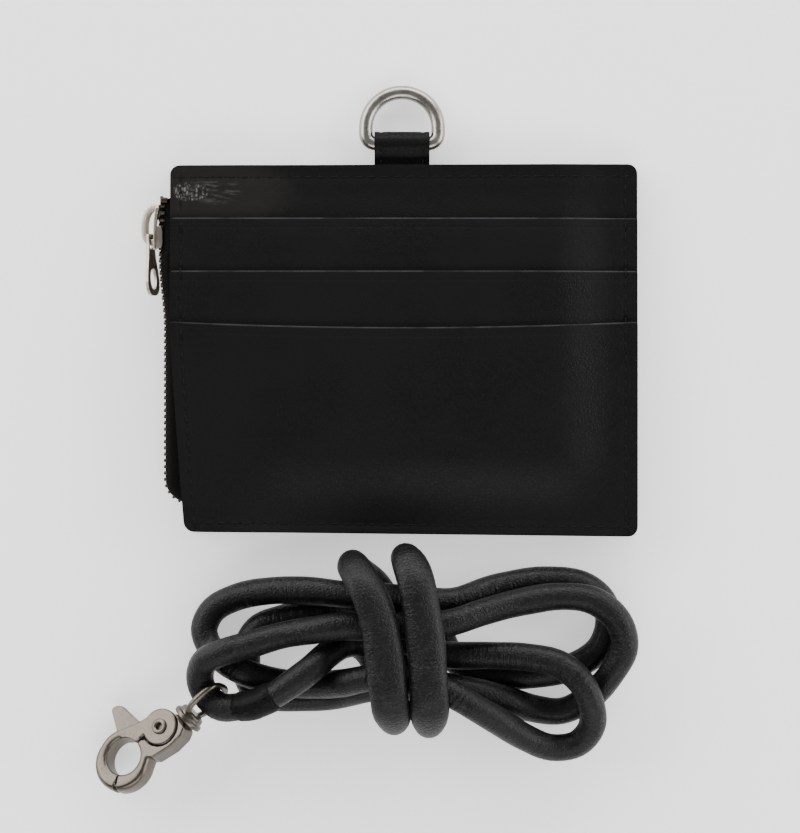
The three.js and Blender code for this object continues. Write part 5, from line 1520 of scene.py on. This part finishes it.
# %% Casting from a CAD node
def cast_copy(name, node, body, voxel_mm, rounds, material, thicker=()):
    """A skin over a copy of a CAD solid, and over any further solids that thicken it."""
    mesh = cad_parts[node].data.copy()
    mesh.materials.clear()
    piece = placed(name, mesh)
    work = bmesh.new()
    work.from_mesh(mesh)
    bmesh.ops.remove_doubles(work, verts=work.verts, dist=1e-6)
    for solid in thicker:
        more = outward(new_piece(name + "_more", solid, material))
        work.from_mesh(more.data)
        bpy.data.objects.remove(more)
    work.to_mesh(mesh)
    work.free()
    return one_skin(piece, node, body, voxel_mm, rounds, material)


for stop in ("front", "rear", "bottom"):
    made = cast_copy(f"{stop}_stop", f"zip_stop_{stop}", "holder", 0.08, 2, tooth_bronze)
    print(made.name, "has", len(made.data.polygons), "faces")

# %% [markdown]
# ## Slider and puller
# The slider's outer plate leans a little, its flanges close round the tape below the nose, and a
# thick oval bridge arches over the plate and holds the puller. Each part is drawn as its own
# simple solid, and the voxel skin then joins them as a mould would. Sections that follow each
# other along the slider make its plates and flanges, and a swept ring makes the bridge.


# %% Solids for the slider
def lofted(stations):
    """A solid through sections along Y: each is (y, [(x, z), ...]) with as many points."""
    points = [(x, y, z) for y, section in stations for x, z in section]
    return points, skin_faces(len(stations), len(stations[0][1]))


def joined(solids):
    points, faces = [], []
    for more_points, more_faces in solids:
        start = len(points)
        points.extend(map(tuple, more_points))
        faces.extend(tuple(start + corner for corner in face) for face in more_faces)
    return points, faces


print("slider sections are ready")


# %% [markdown]
# Each list below gives stations along the slider, from its foot to its nose: the place, the two
# sides of the plate where they change, and half its width.


# %% Slider
def plate(stations):
    """A plate through (y, x of one side, x of the other side, half width) stations."""
    low_high = ((y, x0, x1, POCKET_MIDDLE - half, POCKET_MIDDLE + half) for y, x0, x1, half in stations)
    return lofted([(y, [(x0, low), (x1, low), (x1, high), (x0, high)]) for y, x0, x1, low, high in low_high])


outer_plate = plate([
    (22.7, -56.3, -55.95, 2.4), (23.1, -56.35, -55.85, 2.7), (28.0, -56.3, -55.75, 2.9),
    (30.8, -56.05, -55.35, 3.2), (32.2, -55.8, -55.05, 3.1), (32.8, -55.65, -55.1, 2.6),
])
INNER_PLATE = ((22.9, 1.6), (23.3, 1.9), (32.4, 1.9), (32.8, 1.5))
inner_plate = plate([(y, -52.15, -51.45, half) for y, half in INNER_PLATE])
diamond = plate([(y, -55.6, -51.8, half) for y, half in ((29.6, 0.05), (31.2, 0.55), (32.5, 0.45))])
FLANGE_PLACES = ((23.1, -54.65), (23.5, -54.4), (24.4, -54.25), (26.8, -54.25), (27.7, -54.4), (28.1, -54.65))


def flange(side):
    stations = []
    for y, x in FLANGE_PLACES:
        section = [(-56.1, 1.8), (x, 1.8), (x, 2.25), (-55.25, 2.45), (-56.1, 2.3)]
        stations.append((y, [(a, POCKET_MIDDLE + side * b) for a, b in section]))
    return lofted(stations)


BRIDGE_LINE = (
    (-55.5, 32.2), (-56.3, 32.25), (-57.1, 31.7), (-57.8, 30.6), (-58.2, 29.1), (-58.3, 27.5), (-58.1, 25.9),
    (-57.6, 24.9), (-56.9, 24.5), (-56.1, 24.6),
)
BRIDGE_TIP = 0.34
bridge_path = smooth_path([(x, y, POCKET_MIDDLE + BRIDGE_TIP * (x + 56)) for x, y in BRIDGE_LINE])
bridge_path = even_path(bridge_path, 0.25)
bridge_ring = squared_ring(0.78, 0.8)
bridge = tube(bridge_path, lambda i: bridge_ring, up=(-BRIDGE_TIP, 0, 1))[:2]
slider_parts = joined([outer_plate, inner_plate, diamond, flange(1), flange(-1), bridge])
slider = outward(new_piece("slider_casting", slider_parts, lit_slider_nickel))
one_skin(slider, "zip_slider", "slider", 0.09, 3, lit_slider_nickel)
print("the slider has", len(slider.data.polygons), "faces")

# %% [markdown]
# The puller is stamped from sheet: a narrow head with a slot for the bridge, a wider tail and an
# oval hole. Its outline and its holes are drawn flat and filled, and the plate is then set in
# place: it hangs down along the zip and is rolled, so that its upper edge and one face show.

# %% Puller
PULLER_HINGE = np.array((-57.2, 25.95, POCKET_MIDDLE))
PULLER_ROLL, PULLER_LEAN, PULLER_SHEET = math.radians(34), 0.06, 0.8
PULLER_SIDE = (
    (0.8, 0.45), (1.0, 0.2), (1.05, -2.0), (1.35, -5.0), (1.95, -8.0), (2.2, -10.4), (2.05, -12.0),
    (1.5, -13.0), (0.7, -13.45),
)


def oval(middle, half_across, half_along, power):
    return [(x, middle + y) for x, y in zip(*squared_ring(half_across, half_along, 28, power))]


def filled_plate(loops, half_thickness):
    """A flat plate with holes, from an outline and the holes' outlines."""
    triangles = tessellate_polygon([[Vector((u, v, 0)) for u, v in loop] for loop in loops])
    places = [spot for loop in loops for spot in loop]
    count, start = len(places), 0
    points = [(u, v, level) for level in (half_thickness, -half_thickness) for u, v in places]
    faces = [*triangles, *([count + corner for corner in reversed(face)] for face in triangles)]
    for loop in loops:
        for k in range(len(loop)):
            a, b = start + k, start + (k + 1) % len(loop)
            faces.append((a, b, count + b, count + a))
        start += len(loop)
    return points, faces


outline = [*PULLER_SIDE, *((-half, along) for half, along in reversed(PULLER_SIDE))]
holes = [oval(-1.7, 0.72, 1.25, 0.6), oval(-9.7, 1.1, 2.35, 1.0)]
flat_points, puller_faces = filled_plate([outline, *holes], PULLER_SHEET / 2)
width_way = np.array((math.sin(PULLER_ROLL), 0, -math.cos(PULLER_ROLL)))
sheet_way = np.array((math.cos(PULLER_ROLL), 0, math.sin(PULLER_ROLL)))
length_way = np.array((-PULLER_LEAN, 1, 0))
puller_points = [PULLER_HINGE + u * width_way + v * length_way + t * sheet_way for u, v, t in flat_points]
puller = outward(new_piece("puller_casting", (puller_points, puller_faces), lit_slider_nickel))
one_skin(puller, "zip_pull", "puller", 0.08, 3, lit_slider_nickel)
print("the puller has", len(puller.data.polygons), "faces")

# %% [markdown]
# ## Turned and coiled parts of the hook
# The rivet and the swivel's collar are turned, so each is a half profile swept round an axis.
# The eye is a bow of round wire, fused to its collar, and the spring is a coil of thin wire.
# They are drawn flat, with the hook's length along X, and one turn sets them where the hook lies.

# %% The hook's place
HOOK_RIVET = np.array((-53.8, -84.9, 7.0))
HOOK_TURN = np.eye(3)
for axis, degrees in (("Z", 43.4), ("Y", -7), ("X", -30)):
    HOOK_TURN = HOOK_TURN @ np.array(Matrix.Rotation(math.radians(degrees), 3, axis))
SWIVEL_SIDE, NECK_END, TURNED_SIDES = -2.2, 4.9, 48


def on_hook(points):
    return np.asarray(points, float) @ HOOK_TURN.T + HOOK_RIVET


def turned(profile, axis, offset=(0, 0, 0)):
    """A solid of revolution from (radius, place) pairs, along the X or the Z axis of the hook."""
    vertices = []
    for radius, place in profile:
        for c, s in zip(*circle_ring(radius, TURNED_SIDES)):
            spot = (place, c, s) if axis == "X" else (c, s, place)
            vertices.append(np.array(spot) + np.array(offset))
    return on_hook(vertices), skin_faces(len(profile), TURNED_SIDES)


def finish_metal(piece, node, body):
    outward(piece).data.shade_smooth()
    return dress(piece, node, body)


print("the hook's rivet is at", in_frame(HOOK_RIVET))

# %% [markdown]
# The hook's loop is thick and well rounded, most of all at its outer end, where the two jaws
# meet. Each jaw gets its half of that loop as a swept bar, whose width changes on the way, and
# the trigger gets its full width. The skin joins them with the casting and rounds all edges.

# %% Hook castings
LOOP_HOLE = (-10.8, 1.0, 4.25)
LOOP_SPLIT = 217.5


def loop_bar(start, end):
    angles = np.radians(np.arange(start, end + 0.01, 3))
    outer_end = np.maximum(0, np.cos(angles - math.radians(205)))
    half = 1.2 + 0.75 * outer_end
    radius = LOOP_HOLE[2] + half - 0.1
    x, y = LOOP_HOLE[0] + radius * np.cos(angles), LOOP_HOLE[1] + radius * np.sin(angles)
    line = np.stack([x, y, 0 * x], axis=1)
    rings = [squared_ring(h, 2.55, 24, 0.62) for h in half]
    return tube(on_hook(line), lambda i: rings[i], up=tuple(HOOK_TURN[:, 2]))[:2]


def hook_plate(outline, low, high):
    points, faces = filled_plate([outline], (high - low) / 2)
    return on_hook([(x, y, z + (low + high) / 2) for x, y, z in points]), faces


TRIGGER = ((-3.0, 3.6), (-4.2, 10.8), (-4.9, 11.5), (-6.0, 11.9), (-6.7, 11.4), (-8.6, 6.4))
trigger = hook_plate(TRIGGER, 0.2, 2.4)
fixed_bar, jaw_bar = loop_bar(LOOP_SPLIT + 1.6, 318), loop_bar(48, LOOP_SPLIT - 1.6)
hook_casting, jaw_casting = (
    cast_copy(f"{body}_casting", node, body, 0.14, 9, shaded_hook_nickel, thicker)
    for node, body, thicker in (("hook_body", "hook", [fixed_bar]), ("hook_jaw", "jaw", [jaw_bar, trigger]))
)
print("the castings have", len(hook_casting.data.polygons), "and", len(jaw_casting.data.polygons), "faces")

# %% [markdown]
# The rivet's head is domed and has a dimple in its middle, where the punch closed it.

# %% Rivet
RIVET_FACE, RIVET_END = 2.7, 3.05
head = [
    (1.2, RIVET_FACE - 0.02), (1.7, RIVET_FACE), (1.75, RIVET_FACE + 0.06), (1.72, RIVET_FACE + 0.2),
    (1.55, RIVET_END - 0.03), (1.3, RIVET_END), (1.0, RIVET_END - 0.01), (0.82, RIVET_END - 0.1),
    (0.75, RIVET_END - 0.3), (0.72, RIVET_END - 1.1), (0.5, RIVET_END - 1.2), (0.02, RIVET_END - 1.2),
]
rivet_profile = [*((r, -z) for r, z in reversed(head)), *head]
rivet = finish_metal(new_piece("rivet", turned(rivet_profile, "Z"), shaded_hook_nickel), "hook_rivet", "hook")
print("rivet faces:", len(rivet.data.polygons))

# %% [markdown]
# The spring sits round the rivet between the two cheeks, so its wire is hardly seen.

# %% Spring
SPRING_RADIUS, SPRING_WIRE, SPRING_TURNS, SPRING_RISE = 2.25, 0.4, 2, 1.5
coil_turn = np.linspace(0, SPRING_TURNS * 2 * math.pi, 97)
rise = np.linspace(-0.5, 0.5, 97) * SPRING_RISE
coil = np.stack([SPRING_RADIUS * np.cos(coil_turn), SPRING_RADIUS * np.sin(coil_turn), rise], axis=1)
spring_ring = circle_ring(SPRING_WIRE / 2, 8)
spring = new_piece("spring", tube(on_hook(coil), lambda i: spring_ring)[:2], spring_steel)
finish_metal(spring, "jaw_spring", "hook")
print("the spring's wire is", round(length_of(coil)), "mm long")

# %% [markdown]
# The collar has a wide rim and a rounded barrel, and the bow of the eye is fused to its end. The
# bow is rolled about the hook's length, as the cord holds it.

# %% Swivel eye
rim_start = NECK_END + 0.3
rim_end = rim_start + 1.2
barrel_end = rim_end + 1.4
collar = [
    (0.02, NECK_END - 0.9), (1.1, NECK_END - 0.9), (1.1, rim_start - 0.02), (3.3, rim_start),
    (3.6, rim_start + 0.08), (3.7, rim_start + 0.3), (3.7, rim_end - 0.3), (3.6, rim_end - 0.08),
    (3.25, rim_end), (3.08, rim_end + 0.15), (3.0, rim_end + 0.5), (2.95, barrel_end - 0.55),
    (2.8, barrel_end - 0.25), (2.5, barrel_end - 0.06), (2.1, barrel_end), (0.02, barrel_end),
]
EYE_STRAP, EYE_INNER, EYE_ROLL = 1.5, 8.0, math.radians(66 + 30)
eye_half = (EYE_INNER + EYE_STRAP) / 2
eye_middle = barrel_end + EYE_INNER / 2 - 0.2
eye_plan = [
    (eye_middle + x, SWIVEL_SIDE + y * math.cos(EYE_ROLL), y * math.sin(EYE_ROLL))
    for x, y in zip(*squared_ring(eye_half, eye_half, 120, 0.8))
]
eye_path = even_path(on_hook(eye_plan), 0.45, closed=True)
eye_ring = circle_ring(EYE_STRAP / 2, 20)
eye_bow = tube(eye_path, lambda i: eye_ring, closed=True)[:2]
eye = new_piece("swivel_bow", joined([turned(collar, "X", (0, SWIVEL_SIDE, 0)), eye_bow]), shaded_hook_nickel)
finish_metal(eye, "swivel_eye", "eye")
print("swivel faces:", len(eye.data.polygons))

# %% [markdown]
# The lanyard is one cord. It leaves the join, runs through the swivel's eye and comes back to the join, and
# the hook's pieces hang on it.

print("declared", round(length_of(cord_path)), "mm of cord")

# %% [markdown]
# ## Floor and light
# The holder lies on a plain pale table. Black leather shows its form by what it reflects, so the
# big soft lamps stand low round it, the brightest at the left and at the far side, and the space
# above stays dark: a flat sheet of leather mirrors that darkness to the camera and keeps its
# black. The floor glows a little, so that it stays pale under so little light from above.

# %% Floor
floor_finish = Finish("pale floor")
floor_where = floor_finish.where()
floor_tone = floor_finish.mix(floor_finish.noise(floor_where, 160, 2), (0.88, 0.88, 0.88), (0.9, 0.9, 0.895))
floor_material = floor_finish.done(
    Base_Color=floor_tone, Roughness=0.8, Specular_IOR_Level=0.2, Emission_Color=(1, 1, 1, 1),
    Emission_Strength=0.7,
)
FLOOR_REACH = 4.0
floor_corners = [(x * FLOOR_REACH, y * FLOOR_REACH, 0) for x, y in ((-1, -1), (1, -1), (1, 1), (-1, 1))]
floor_mesh = bpy.data.meshes.new("floor")
floor_mesh.from_pydata(floor_corners, [], [(0, 1, 2, 3)])
floor_mesh.materials.append(floor_material)
floor = placed("floor", floor_mesh)
floor.location.z = -0.0002
print("the floor is", 2 * FLOOR_REACH, "m wide")

# %% [markdown]
# Each lamp is a wide rectangle that faces the middle of the holder. Places and sizes are in
# metres, and powers in watts.


# %% Lamps
def soft_lamp(name, place, size, power):
    data = bpy.data.lights.new(name, "AREA")
    data.shape = "RECTANGLE"
    data.size, data.size_y = size
    data.energy = power
    lamp = placed(name, data)
    lamp.location = place
    lamp.rotation_euler = (-Vector(place)).to_track_quat("-Z", "Y").to_euler()


soft_lamp("left lamp", (-1.45, 0.8, 0.75), (2.0, 1.0), 42)
soft_lamp("right lamp", (1.6, 0.1, 0.65), (1.8, 0.9), 32)
soft_lamp("near lamp", (0.1, -1.4, 1.15), (2.2, 0.8), 24)
soft_lamp("far lamp", (0.2, 1.6, 0.6), (2.2, 0.8), 43)

world = bpy.data.worlds.new("studio")
world.use_nodes = True
background = world.node_tree.nodes["Background"]
background.inputs["Color"].default_value = (1, 1, 1, 1)
background.inputs["Strength"].default_value = 0.3
bpy.context.scene.world = world
print("four lamps and a dim room")

# %% [markdown]
# The shapes that the repeats copied have done their work and go.

# %% Finish
for pattern in patterns:
    bpy.data.objects.remove(pattern)
